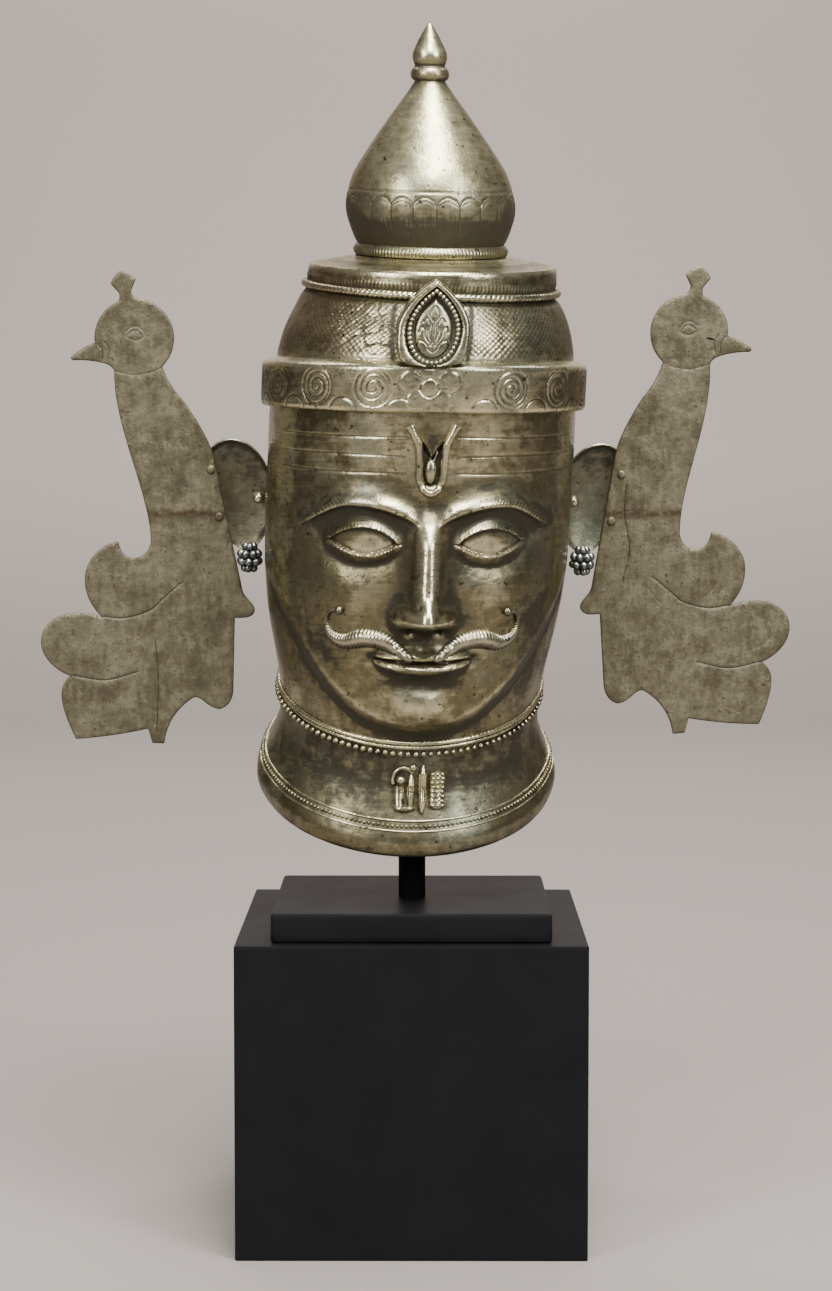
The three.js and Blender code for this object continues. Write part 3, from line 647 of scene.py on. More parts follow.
def clasp():
    """On the throat under the necklace: a ball in a crescent over a bar, a leaf-shaped rib, a tall smooth
    ridge, a bar covered with knobs and a low bar at the foot of the first."""
    v = np.linspace(0, 1, 50)

    def bar(x, bottom, top, width, proud, rounding):
        """An upright rib, its ends rounded over that share of its length."""
        path = face_at(np.full(50, float(x)), bottom + (top - bottom) * v, 0.2)
        ends = np.sqrt(np.clip(np.minimum(v, 1 - v) / rounding, 0.004, 1))
        return rod_along(path, width / 2 * ends, proud * ends, radial(path), 20)

    bend = np.radians(np.linspace(205, 35, 30))
    crescent_path = face_at(-6.6 + 6 * np.cos(bend), 10 + 6.6 * np.sin(bend), 1.8)
    crescent = rod_along(crescent_path, 1.1, 1.1, radial(crescent_path), 10)
    row, column = (index.ravel() for index in np.indices((8, 3)))
    knob_places = face_at(10.2 + 2.8 * column + 0.5 * (row % 2), 13.2 - 2.5 * row, 2.9)
    return joined([
        bar(-8.8, -7.6, 7.2, 6.6, 3.4, 0.12), balls(face_at(-8.2, 9.8, 2.6), 2.7, 12, 16, 0.7), crescent,
        balls(face_at(-1.2, 17, 2.2), 2.4, 10, 14, 0.7), bar(-2.2, -8, 14, 5, 3.8, 0.35),
        bar(4.4, -9.6, 19.6, 5.4, 5, 0.2), bar(13, -7.4, 14.4, 9.2, 2.8, 0.1),
        balls(knob_places, [1.45, 1.2, 1.0], 6, 10), bar(-5.6, -8.6, -4.6, 12.6, 3.4, 0.4),
    ])


# Crown and dome
def round_rings(profile, columns, relief=0, depth=1):
    """Rings round the z axis from (radius, z) pairs, the relief added to the radius."""
    angle = full_turn(columns)
    radius = profile[:, :1] + relief
    return spread(radius * np.sin(angle), -depth * radius * np.cos(angle), profile[:, 1:])


def sloped(points):
    """The crown's rings rise or fall towards the front as the head's do; the roll under the rim sits a
    little askew, higher on the left."""
    z = points[..., 2]
    askew = smooth(z, 272, 281) * (1 - smooth(z, 288.5, 293)) * (RING_RISE - RING_TILT * points[..., 0])
    return points + (slope(z) * points[..., 1] + askew)[..., None] * np.array([0, 0, 1.0])


def band_carving(u, v):
    """The band unrolled, u round it from its front and v up it: a flower in front, spirals to both sides
    every 36 mm, half-round scallops on the lower edge between them, all as cut lines and low cushions."""
    pitch, middle, spiral_radius, coil_pitch = 36, 229, 10.6, 3.5
    heart_x, heart_z = -3.5, 229.6
    du, dv = u - heart_x, v - heart_z
    angle, radius = np.arctan2(dv, du), np.hypot(du, dv)
    lobes = np.full(u.shape, 99.0)
    for k in range(5):
        turn = math.radians(90 + 72 * k)
        reach, size = (11.2, 6.6) if k else (9.6, 5.4)
        from_lobe = np.hypot(du - reach * math.cos(turn), dv - 0.86 * reach * math.sin(turn)) - size
        lobes = np.minimum(lobes, from_lobe)
    height = 0.6 * smooth(-lobes, 0, 3) * (radius > 5.4) - 0.95 * bell(lobes, 0.5) * (radius > 5)
    height += 1.2 * np.sqrt(np.maximum(0, 1 - (radius / 4.9) ** 2)) - 0.95 * bell(radius - 5.2, 0.5)
    height -= 0.4 * bell(np.sin(2.5 * angle), 0.16) * smooth(radius, 5.2, 6) * (1 - smooth(radius, 9, 11))
    count = np.arange(7)
    for sign, centres in ((-1, -35.3 - pitch * count), (1, 44.3 + pitch * count)):
        for centre in centres:
            r = np.hypot(u - centre, v - middle)
            share = sign * np.arctan2(v - middle, u - centre) / (2 * np.pi)
            coil = (r / coil_pitch - share) % 1 - 0.5
            cut = 0.3 * bell(r, 9) - 0.9 * bell(coil, 0.15) * smooth(r, 0.8, 1.8)
            height += np.where(r < spiral_radius, cut, 0) - 0.85 * bell(r - spiral_radius, 0.45)
    for centre in np.r_[-19.4, -53.3 - pitch * count[:6], 28.0, 62.3 + pitch * count[:6]]:
        r = np.hypot((u - centre) / 8.6, (v - BAND_BOTTOM) / 7.8)
        height += 0.3 * smooth(1 - r, 0, 0.25) - 0.9 * bell((r - 1) * 8, 0.5)
    edge = np.minimum(v - BAND_BOTTOM - 1.4, BAND_TOP - 1.6 - v)
    return height * smooth(edge, 0, 1) * 0.5


def crown_band():
    """The band with its carved face, and its top that slopes in to the cap. Its front is worn bright and
    carries a painted highlight.
    """
    columns, face_rows = 900, 46
    lip = [[89.6, 216.3], [90.4, 215.6], [91.6, 215.5], [92.8, 215.8], [93.7, 216.5]]
    face = np.stack([np.full(face_rows, BAND_RADIUS), np.linspace(218, 239, face_rows)], 1)
    top = [[93.9, 240], [93.3, 241], [91.5, 241.9], [89, 242.9], [86.8, 243.6], [86, 244]]
    inside_wall = [[83, 243.4], [83, 236.6], [89.6, 236.5], [89.6, 226]]
    loop = np.vstack([lip, face, top, inside_wall])
    angle = full_turn(columns)
    u = np.where(angle > np.pi, angle - 2 * np.pi, angle)[None, :] * BAND_RADIUS
    relief = np.zeros((len(loop), columns))
    relief[len(lip):len(lip) + face_rows] = band_carving(*np.broadcast_arrays(u, face[:, 1:]))
    rings = sloped(round_rings(loop, columns, relief, CROWN_DEPTH))
    rings = rings + 0.15 * dents(rings, 20, 5)[..., None] * radial(rings)
    # the front of the band is brightened: worn bright and a painted highlight
    return dull(tube(rings, wrap=True), lambda p: -0.42 * bell(p[:, 0], 46) * smooth(-p[:, 1], 20, 60))


def medallion_shadow_line(points):
    """1 on a narrow line just outside the medallion's edge, 0 elsewhere: where the medallion's painted
    shadow lies on the cap.
    """
    m = MEDALLION
    x, z = points[:, 0] - m["x"], points[:, 2] - m["z"]
    share = np.hypot(x / (m["half_width"] + 1.6), z / np.where(z > 0, m["rise"] + 12, 60)) - 1
    return bell(share, 0.06) * smooth(-points[:, 1], 40, 60) * (1 - smooth(z, 8, 12)) * smooth(z, -28, -24)


def crown_cap():
    """Domed cap with lines cut in diamonds and a few cracks, upright rim with a fringe of ticks, and the
    sloping roof. The rim is dull, and a line round the medallion is darkened as its painted shadow."""
    columns, cells, cell_height, cap_radius = 620, 140, 4, 80
    inner = [[0.6, 299], [43, 299], [66.6, 292.5], [69.5, 282], [71.6, 273], [80.4, 252], [82.4, 243]]
    wall = through([
        [86, 243.2], [85.2, 249.5], [82.9, 259.5], [79.4, 268.8], [75.2, 276.8], [72.4, 279.8],
        [71.2, 281.6],
    ], 74)
    rim = [
        [71.2, 285.6], [71.5, 287], [71.7, 288.4], [71.7, 290], [71.5, 292], [71.4, 294], [71.3, 296],
        [71, 297], [70.2, 297.8],
    ]
    roof_radius = np.linspace(68, 46.5, 18)
    roof = np.stack([roof_radius, 297.8 + (68.6 - roof_radius) * 0.196], 1)
    end = [[45.5, 302.9], [30, ROOF], [0.6, ROOF]]
    loop = np.vstack([inner, wall, rim, roof, end])
    angle = full_turn(columns)[None, :]
    cell = 2 * np.pi * cap_radius / cells
    u, v = angle * cap_radius, np.r_[0, np.cumsum(steps_of(wall))][:, None]
    wall_rings = round_rings(wall, columns)
    wander = 1.1 * dents(wall_rings, 26, 21)
    lines = bell(np.sin(np.pi * (u / cell + (v + wander) / cell_height)), 0.26)
    lines = lines + bell(np.sin(np.pi * ((u + wander) / cell - v / cell_height)), 0.26)
    worn = 0.65 + 0.35 * np.sin(u / 23 + 1.3) * np.sin(v / 9 + u / 41)
    to_left = (2 * np.pi - angle) * (angle > np.pi)
    cracks = bell(dents(wall_rings, 15, 31), 0.07) * smooth(to_left, 0.1, 0.25)
    cracks = cracks * (1 - smooth(to_left, 0.6, 0.9))
    fade = smooth(v, 2.5, 4) * (1 - smooth(v, 37, 39.5))
    relief = np.zeros((len(loop), columns))
    first, last = len(inner), len(inner) + len(wall)
    relief[first:last] = -(0.42 * lines * worn + 0.45 * cracks) * fade
    relief[last + 1:last + 4] = 0.22 * np.sin(angle * 190) * np.array([[1], [1], [0.6]])
    rings = sloped(round_rings(loop, columns, relief, CROWN_DEPTH))
    uneven = (0.2 * dents(rings, 14, 6) + 0.35 * dents(rings, 40, 7)) * smooth(rings[..., 2], 246, 252)
    body = tube(rings + uneven[..., None] * radial(rings))
    body = dull(body, lambda p: 0.2 * smooth(p[:, 2], 276, 282) * (1 - smooth(p[:, 2], 294, 298)))
    # painted shadow of the medallion on the cap
    return dull(body, lambda p: 0.8 * medallion_shadow_line(p))


def rope():
    """A two-strand roll under the rim."""
    roll, strands, middle_radius, middle_z = 2.35, 76, 72.6, 283.4
    angle = full_turn(960)[:, None]
    turn = full_turn(14)
    size = roll * (0.86 + 0.18 * np.abs(np.cos(turn - strands * angle)))
    radius, z = middle_radius + size * np.cos(turn), middle_z + 0.9 * size * np.sin(turn)
    return tube(sloped(spread(radius * np.sin(angle), -CROWN_DEPTH * radius * np.cos(angle), z)), wrap=True)


def dome_shift(points):
    """The dome's own frame to the part's frame: it stands a little to the right and leans to the left."""
    return place(points + (DOME_SHIFT + DOME_LEAN * (points[:, 2:] - ROOF)) * RIGHT)


def dome():
    """Bowl with a cut line and a row of round-headed petals, concave cone, ring and pointed finial. The
    lower bowl, which turns downwards, is darkened as painted shade; the ring and the foot are dull."""
    columns, petals, petal_top, crimp_count = 440, 23, 337.4, 62
    bowl = through([
        [42.2, 309.6], [44, 313], [45.9, 318], [48.2, 326], [48.4, 333.5], [46.4, 342.5], [42.8, 351.5],
        [35.8, 362.6], [28, 374], [20, 385], [13, 394.4], [8.8, 400.8], [8.4, 402.4],
    ], 150)
    finial = through([
        [8, 400.9], [9.4, 401.3], [10.8, 403], [11, 405], [10.4, 407.2], [9, 408.4], [8.5, 409.4],
        [9.2, 411], [9.9, 413.6], [9.6, 416.6], [8.2, 420], [6, 424.4], [3.4, 428.9], [1.5, 431.9],
        [0.3, 433],
    ], 56)
    foot = through([
        [41, 303.4], [43.2, 303.4], [44, 304.4], [44.2, 306.4], [43.4, 308.4], [42.2, 309.8], [41, 310],
    ], 22)
    angle = full_turn(columns)[None, :]
    z = bowl[:, 1:]
    share = (angle * petals / (2 * np.pi)) % 1 - 0.5
    below = petal_top - 6.5 * (1 - np.sqrt(np.maximum(0, 1 - (1.9 * share) ** 2))) - z
    cut = -0.4 * bell(z - 340.4, 0.5) - 0.45 * bell(below, 0.5)
    cut = cut - 0.3 * bell(below - 2.2, 0.4) * (np.abs(share) < 0.4)
    cushion = 0.12 * smooth(below, 0, 3) * (1 - smooth(below, 12, 20)) * np.cos(np.pi * share)
    stems = -0.2 * bell(np.abs(share) - 0.5, 0.03) * smooth(below, -4, 0) * smooth(z, 316, 322)
    hatch = -0.18 * bell(np.sin(angle * petals * 2.5), 0.3) * smooth(z, 314, 318) * (1 - smooth(z, 322, 327))
    body = round_rings(bowl, columns, cut + cushion + stems + hatch)
    uneven = (0.3 * dents(body, 26, 8) + 0.08 * dents(body, 8, 9))[..., None]
    body = body + uneven * radial(body) * smooth((body[..., :2] ** 2).sum(-1, keepdims=True), 150, 900)
    top = round_rings(finial, columns)[:, ::4]
    wide = 860
    crimps = 0.35 * np.abs(np.sin(full_turn(wide) * crimp_count)) * bell(foot[:, 1:] - 306, 2)
    inner_edge = [[38, 310], [38, 303.4]]
    base = round_rings(np.vstack([foot, inner_edge]), wide, np.vstack([crimps, np.zeros((2, wide))]))
    return [
        # painted shade on the lower, downward-turned part of the bowl
        dull(tube(body), lambda p: 0.3 * (1 - smooth(p[:, 2], 333, 341))),
        dull(tube(top), lambda p: 0.24 * (1 - smooth(p[:, 2], 407, 410))),
        dull(tube(base, wrap=True), 0.2),
    ]


def drop_shape(half, rise, foot, square, count=200):
    """A pointed drop: four cubic curves from the tip round the foot, resampled evenly."""
    tip, side, base = (0, rise), (half, -0.1 * foot), (0, -foot)
    upper = bezier([tip, (0.3 * half, 0.86 * rise), (half, 0.42 * rise), side], 60)
    lower = bezier([side, (half, -square * foot), (square * half, -foot), base], 60)
    right = np.vstack([upper, lower[1:]])
    line = np.vstack([right, (right * [-1, 1])[::-1][1:]])
    return evenly(line, count + 1)[:-1]


def medallion_place(x, depth, z):
    """From the medallion's own x, depth, z to the head's frame: it leans back a little towards its tip."""
    m = MEDALLION
    return spread(x + m["x"], depth + m["front"] + m["backward"] * (z + m["foot"]), z + m["z"])


def medallion():
    """Deep drop-shaped frame, forty beads in its hollow and a domed plaque with a cut spray of leaves.
    The frame's rows are shares of half-width, rise and foot, squareness and depth behind the front."""
    half, rise, foot = MEDALLION["half_width"], MEDALLION["rise"], MEDALLION["foot"]
    sizes = [
        (1, 1, 1, 0.9, 15), (1, 1, 1, 0.9, 4), (1, 1, 1, 0.9, 2.2), (0.985, 0.985, 0.985, 0.9, 1),
        (0.955, 0.96, 0.96, 0.9, 0.3), (0.93, 0.945, 0.985, 0.86, 0), (0.88, 0.915, 0.98, 0.8, -0.1),
        (0.82, 0.88, 0.97, 0.7, 0.1), (0.78, 0.855, 0.965, 0.62, 0.6), (0.755, 0.835, 0.96, 0.6, 1.6),
        (0.745, 0.825, 0.95, 0.6, 2.9), (0.5, 0.55, 0.6, 0.6, 3), (0.02, 0.02, 0.02, 0.6, 3),
    ]
    rings = []
    for a, b, c, square, depth in sizes:
        line = drop_shape(a * half, b * rise, c * foot, square)
        rings.append(medallion_place(line[:, 0], depth, line[:, 1]))
    line = drop_shape(0.66 * half, 0.75 * rise, 0.91 * foot, 0.6, 40)
    beads = balls(medallion_place(line[:, 0], 0.5, line[:, 1]), 1.5, 8, 10)
    shares = np.linspace(1, 0.02, 50)[:, None]
    field = shares[..., None] * drop_shape(0.52 * half, 0.6 * rise, 0.8 * foot, 0.62, 170)
    spray = [
        through([[0, -14], [0.3, -6], [0, 2.4]], 50),
        through([[0, 2.4], [-2.9, 6.4], [0, 10.8], [2.9, 6.4], [0, 2.4]], 70),
        through([[-0.8, -9], [-2.6, -2.5], [-2.2, 1.5], [-4, 4.4], [-5.8, 2.6]], 60),
        through([[-1, -10], [-4.4, -5.5], [-5, -1.6], [-7, -0.4], [-8, -2.8]], 60),
        through([[-1.4, -12.5], [-4.4, -8.6], [-7.6, -7.4], [-8.6, -9.6]], 50),
        through([[0, -14], [-2.6, -11.5], [-0.6, -8.4]], 30),
    ]
    cuts = np.vstack(spray + [stroke * [-1, 1] for stroke in spray[2:]])
    depth = 3 - 2.9 * np.sqrt(np.maximum(0, 1 - shares**2.4)) + 0.5 * bell(distance(field, cuts), 0.5)
    return [tube(np.array(rings)), beads, tube(medallion_place(field[..., 0], depth, field[..., 1]))]


# Ears and plates
def on_side(side):
    """Puts a piece drawn on the right onto one side, in metres in the part's frame."""
    drift = SIDE_LEAN * EAR["z"] * RIGHT
    return lambda points: place(points * np.array([side, 1, 1]) + drift)


def ear():
    """Spoon-shaped flap, narrower at the lobe, hollow in front, with a thin raised rim: rings from the
    middle of its back over the edge to the middle of its front, each a share of the full size."""
    edge_share, edge_y = [1, 1.005, 1, 0.985, 0.96], [2.6, 1.2, 0, -0.6, -0.3]
    share = np.r_[np.linspace(0.02, 0.97, 16), edge_share, np.linspace(0.93, 0.02, 26)][:, None]
    y = np.r_[np.full(16, EAR["thickness"]), edge_y, np.full(26, 0.2)][:, None]
    y = y + EAR["hollow"] * (1 - share**2)
    turn = full_turn(120)
    up = EAR["half_height"] * share * np.sin(turn)
    across = EAR["half_width"] * share * np.cos(turn) * (1 + 0.16 * np.sin(turn)) + EAR["lean"] * up
    return tube(spread(EAR["x"] + across, EAR["y"] + y, EAR["z"] + up))


def earring():
    """Rows of small balls round a larger one, on a peg that reaches the lobe. A row is its height, its
    radius, its count and the size of its balls."""
    centre = np.array([98.4, 5.4, 124.5])
    lobe_y = 17.5
    rows = [(6.6, 2.2, 4, 2.5), (2.6, 5, 7, 2.6), (-2, 5.2, 7, 2.6), (-6, 2.8, 5, 2.5)]
    grains = []
    for i, (z, radius, count, size) in enumerate(rows):
        turn = full_turn(count) - np.pi / 2 + 0.5 * i
        spots = centre + spread(radius * np.cos(turn), radius * np.sin(turn), z)
        grains.append(balls(spots, size, 10, 14, 0.6))
    peg = np.linspace(centre, [centre[0], lobe_y, centre[2]], 4)
    peg = rod_along(peg, 1.5, 1.5, np.array([[0, 0, 1.0]]), 12, 0.4)
    return grains + [balls(centre, 5, 12, 16, 0.1), peg]


def outline_of(pieces, gap):
    """A closed outline resampled evenly: a first point, then straight lines and curves given by the
    corners after the last point, and arcs given by centre, radius and two angles."""
    here, line = pieces[0], []
    for piece in pieces[1:]:
        if piece[0] == "arc":
            _, centre, radius, first, last = piece
            angle = np.radians(np.linspace(first, last, 60))
            part = centre + radius * np.stack([np.cos(angle), np.sin(angle)], 1)
        else:
            part = bezier([here, *piece], 30)
        line.append(part)
        here = part[-1]
    line = np.vstack(line)
    line = line[np.r_[True, steps_of(line) > 1e-6]]
    line = np.vstack([line, line[:1]])
    return evenly(line, int(steps_of(line).sum() / gap) + 1)[:-1]


# A brown seam runs level across both necks at this height above the ground.
SEAM_HEIGHT = 425.7
# The bird's outline, and lines cut in its front as (depth, corners): both plates', the left one's and the
# right one's.
BIRD_HEAD = ((162.5, 255.5), 23)
BIRD = [
    (161.1, 278.4), [(163.2, 280.5), (163.4, 282.6)], [(160.4, 289.2)],
    [(163.5, 293.6), (168.8, 294.4)], [(173.6, 291.5), (174.9, 287)], [(170.2, 281.6)],
    [(169.9, 279), (170.6, 277)], ("arc", *BIRD_HEAD, 69, -5), [(193.5, 250.4), (199.4, 245.6)],
    [(200, 243.6), (197.6, 243.4)], [(188, 243.6), (179.9, 241.1)], [(176.2, 239.8), (174.8, 236.7)],
    [(177, 205), (157, 165), (157.3, 136)], [(158.6, 128.6), (163.4, 125.9), (168.3, 125.9)],
    [(173, 126.4), (176, 130.6), (176.4, 136.2)], [(188, 134.6), (197.5, 124), (197.1, 112.6)],
    [(197, 103), (192.6, 96), (187.7, 90.8)], [(195, 93.5), (200, 94), (206.2, 93.5)],
    [(217, 92.5), (224.5, 86), (224.5, 76.5)], [(224.5, 68), (217, 59.4), (207.9, 55.9)],
    [(212.5, 52.5), (214, 48), (213.8, 43.4)], [(213.5, 35), (210, 26), (206.4, 17.2)],
    [(184, 18), (163.2, 22.2)], [(160.9, 13.2)], [(153.7, 12.7)],
    [(152.4, 24), (146, 34), (135.5, 40.4)], [(130, 41.6), (128, 33.6), (119.9, 32.8)],
    [(112.2, 35), (111.5, 44.7)], [(109.3, 88.3)], [(104, 88), (98.6, 87.6), (97.3, 92.2)],
    [(97.2, 97.4), (104, 99.6), (104.6, 106.5)], [(108.6, 130), (113, 152), (118.5, 184.2)],
    [(121, 196), (130, 210), (135, 217.9)], [(144, 228), (146.9, 238.4)],
    ("arc", *BIRD_HEAD, 227.6, 93.5),
]
CUT_LINES = [
    (0.3, [[157, 259.4], [160, 262], [164, 262], [167, 259.6]]),
    (0.3, [[158, 257.4], [160.4, 259.6], [163.6, 259.6], [166, 257.6]]),
    (0.3, [[157.4, 256], [161, 254.2], [164.4, 254.8], [166.6, 256.6]]),
    (0.35, [[180.2, 254.4], [177.4, 249.6], [178, 243.4]]),
    (0.35, [[183.6, 252.4], [181, 248.6], [181.4, 243]]),
    (0.25, [[147, 238.2], [154, 235.4], [163, 234.2], [174.4, 236.4]]),
    (0.45, [[187, 91.4], [174.8, 90.2], [160.2, 93.9], [152, 100.6], [141.2, 110]]),
    (0.45, [[207, 56.2], [187.2, 52.8], [168.1, 57.1]]),
    (0.3, [[163.6, 133.6], [167.5, 129.8], [172.6, 131.6]]),
    (0.2, [[176, 126], [181, 116], [179, 104], [172, 97]]),
    (0.2, [[204, 84], [212, 81], [214, 73], [206, 66], [196, 63]]),
    (0.2, [[198, 46], [203, 38], [199, 28], [188, 24]]),
    (0.16, [[141, 205], [134, 180], [133, 160], [136, 140], [134, 118]]),
    (0.14, [[153, 222], [152, 196], [146, 172], [146, 150]]),
    (0.16, [[126, 120], [129, 100], [125, 82], [127, 62], [124, 48]]),
]
LEFT_LINES = [
    (0.4, [[157, 76], [156, 56], [157, 34], [158, 20]]),
    (0.14, [[140, 100], [137, 84], [139, 66]]),
]
RIGHT_LINES = [
    (1.8, [[173.6, 251.9], [174.8, 251.6], [176, 251.3]]),
    (0.4, [[125, 166], [124, 148], [127, 128], [123, 108]]),
    (0.2, [[138, 104], [146, 92], [143, 76], [147, 60], [144, 46]]),
    (0.18, [[160, 112], [166, 104], [164, 96]]),
]


def inside(points, line):
    """Even-odd test of points against a closed outline."""
    a, b = line, np.roll(line, -1, 0)
    x, z = points[:, :1], points[:, 1:]
    crossing = (a[:, 1] > z) != (b[:, 1] > z)
    rise = np.where(a[:, 1] == b[:, 1], 1, b[:, 1] - a[:, 1])
    reach = a[:, 0] + (z - a[:, 1]) / rise * (b[:, 0] - a[:, 0])
    return ((crossing & (x < reach)).sum(1) % 2) == 1


def sideways(steps):
    """Directions square to a flat line's steps."""
    return unit(np.stack([-steps[:, 1], steps[:, 0]], 1))


def cut_points(lines):
    """Three rows of points along each cut line: the outer ones level, the middle one as deep as it says."""
    cuts, depth = [], []
    for deep, corners in lines:
        line = through(corners, max(8, int(steps_of(corners).sum() / 0.9)))
        across = sideways(np.gradient(line, axis=0))
        for shift, low in ((-0.65, 0), (0, deep), (0.65, 0)):
            cuts.append(line + across * shift)
            depth.append(np.full(len(line), float(low)))
    return np.vstack(cuts), np.concatenate(depth)


def plate_net(lines):
    """A net of triangles that fills the bird's outline, finer at the rim and the cut lines: its points,
    how deep each is sunk, the triangles, and the rim's points in order."""
    rim = outline_of(BIRD, 1.1)
    area = 0.5 * np.sum(rim[:, 0] * np.roll(rim[:, 1], -1) - rim[:, 1] * np.roll(rim[:, 0], -1))
    inner = rim + sideways(np.roll(rim, -1, 0) - np.roll(rim, 1, 0)) * 0.75 * math.copysign(1, area)
    inner = inner[inside(inner, rim)]
    cuts, depth = cut_points(lines)
    low, high = rim.min(0), rim.max(0)
    gx, gz = np.meshgrid(np.arange(low[0], high[0], 1.7), np.arange(low[1], high[1], 1.5))
    gx = gx + 0.85 * (np.arange(len(gx)) % 2)[:, None]
    net = np.stack([gx.ravel(), gz.ravel()], 1)
    net = net[inside(net, rim)]
    net = net[distance(net, rim) > 1.5]
    net = net[distance(net, cuts) > 0.8]
    keep = inside(cuts, rim)
    flat = np.vstack([rim, inner, cuts[keep], net])
    sunk = np.concatenate([np.full(len(rim), 0.5), np.zeros(len(inner)), depth[keep], np.zeros(len(net))])
    edges = [(i, (i + 1) % len(rim)) for i in range(len(rim))]
    filled = geometry.delaunay_2d_cdt([Vector(p) for p in flat], edges, [], 1, 1e-5)
    triangles, source = np.array(filled[2]), np.array([origin[0] for origin in filled[3]])
    flat, sunk = flat[source], sunk[source]
    corner = flat[triangles]
    edge, other = corner[:, 1] - corner[:, 0], corner[:, 2] - corner[:, 0]
    turned_over = edge[:, 0] * other[:, 1] < edge[:, 1] * other[:, 0]
    triangles[turned_over] = triangles[turned_over][:, ::-1]
    on_rim = np.nonzero(source < len(rim))[0]
    ring = on_rim[np.argsort(source[on_rim])]
    return flat, sunk, triangles, ring if area > 0 else ring[::-1]


def peacock(side):
    """A plate from the bird's outline: its front is the net, lowered along the rim and the cut lines and
    gently dented; the back is the same net, flat but for the dents. Then it is turned about its pivot."""
    flat, sunk, triangles, ring = plate_net(CUT_LINES + (LEFT_LINES if side < 0 else RIGHT_LINES))
    count = len(flat)
    upright_net = spread(flat[:, 0], 0, flat[:, 1])
    sizes = ((0.45, 70, 11), (0.16, 22, 13), (0.05, 7, 15))
    dent = sum(deep * dents(upright_net, size, seed + side) for deep, size, seed in sizes)
    on_rim = np.zeros(count)
    on_rim[ring] = 1
    back = EAR["y"] - GAP
    front_y, back_y = back - PLATE_THICKNESS + sunk + dent, back + dent - 0.3 * on_rim
    points = np.vstack([spread(flat[:, 0], y, flat[:, 1]) for y in (front_y, back_y)])
    after = np.roll(ring, -1)
    wall = spread(after, ring, ring + count, after + count)
    faces = [np.vstack([triangles, triangles[:, ::-1] + count]), wall]
    points = (points - PLATE_PIVOT) @ turning(1, -side * PLATE_TURN).T + PLATE_PIVOT
    # the rim is darker as painted shade along the plate's edge; cut lines are darker by their depth
    wear_and_shade = np.r_[0.5 - np.where(on_rim > 0, 0.3, sunk), np.full(count, 0.5)]
    return points + np.array([0, 0, side * PLATE_STEP]), faces, np.clip(wear_and_shade, 0, 1)


def rivets():
    """Round head in front, shank and closing head behind."""
    front, middle, back = 14.4, 20, 25.6
    parts = []
    for x, z in RIVETS.values():
        parts.append(balls([x, front, z], [2.6, 1.2, 2.6], 10, 16, 0.5))
        parts.append(balls([x, back, z], [2.9, 1.5, 2.9], 10, 16, 0.6))
        shank = np.array([[x, front, z], [x, middle, z], [x, back - 0.1, z]])
        parts.append(rod_along(shank, 1.7, 1.7, np.array([[0, 0, 1.0]]), 12, 0.4))
    return parts


# Stand
def slab(width, depth, bottom, top, centre_y, corner, bevel):
    """A box with rounded upright corners and a small round along its top and bottom edges: four quarter
    circles as one outline, drawn in by an inset at each level."""
    turn = (np.linspace(0, np.pi / 2, 7) + np.arange(4)[:, None] * np.pi / 2).ravel()
    outward = np.stack([np.cos(turn), np.sin(turn)], 1)
    signs = np.repeat([[1, 1], [-1, 1], [-1, -1], [1, -1]], 7, 0)
    outline = signs * [width / 2 - corner, depth / 2 - corner] + corner * outward
    edge = [(0.9 * corner, 0), (bevel, 0), (0.3 * bevel, 0.3 * bevel), (0, bevel), (0, 3 * bevel)]
    levels = [(inset, bottom + up) for inset, up in edge] + [(inset, top - up) for inset, up in edge[::-1]]
    rings = [spread(*(outline - inset * outward).T, z) + [0, centre_y, 0] for inset, z in levels]
    return tube(np.array(rings), bright=0.5)


def rod():
    """Round bar from the step up to a rounded top under the crown's roof."""
    foot = BLOCK_HEIGHT + STEP_HEIGHT + 2 * GAP
    cap = np.radians(np.linspace(80, 5, 8))
    rounded = np.stack([ROD_RADIUS * np.sin(cap), ROD_TOP - ROD_RADIUS + ROD_RADIUS * np.cos(cap)], 1)
    profile = np.vstack([[[ROD_RADIUS, foot]], rounded])
    return tube(round_rings(profile, 64) + np.array([0, ROD_Y, 0]), bright=0.5)


# Finishes
COOL_GREY, BROWN, ORANGE = (0.14, 0.155, 0.115), (0.115, 0.085, 0.045), (0.34, 0.195, 0.085)
# Each cast finish: its colours where rubbed, on the open skin and in hollows, roughness and cloudiness.
BRONZES = {
    "cast_bronze": ((0.66, 0.6, 0.38), (0.168, 0.147, 0.081), (0.022, 0.019, 0.011), 0.33, 0.8),
    "dome_bronze": ((0.74, 0.68, 0.42), (0.31, 0.277, 0.157), (0.03, 0.025, 0.015), 0.37, 0.6),
    "dull_bronze": ((0.36, 0.335, 0.23), (0.135, 0.121, 0.077), (0.022, 0.019, 0.012), 0.42, 0.8),
    "rubbed_bronze": ((0.47, 0.43, 0.3), (0.14, 0.126, 0.08), (0.02, 0.017, 0.012), 0.36, 0.8),
    "silvered_bronze": ((0.5, 0.52, 0.5), (0.13, 0.14, 0.14), (0.012, 0.012, 0.014), 0.3, 0.8),
}


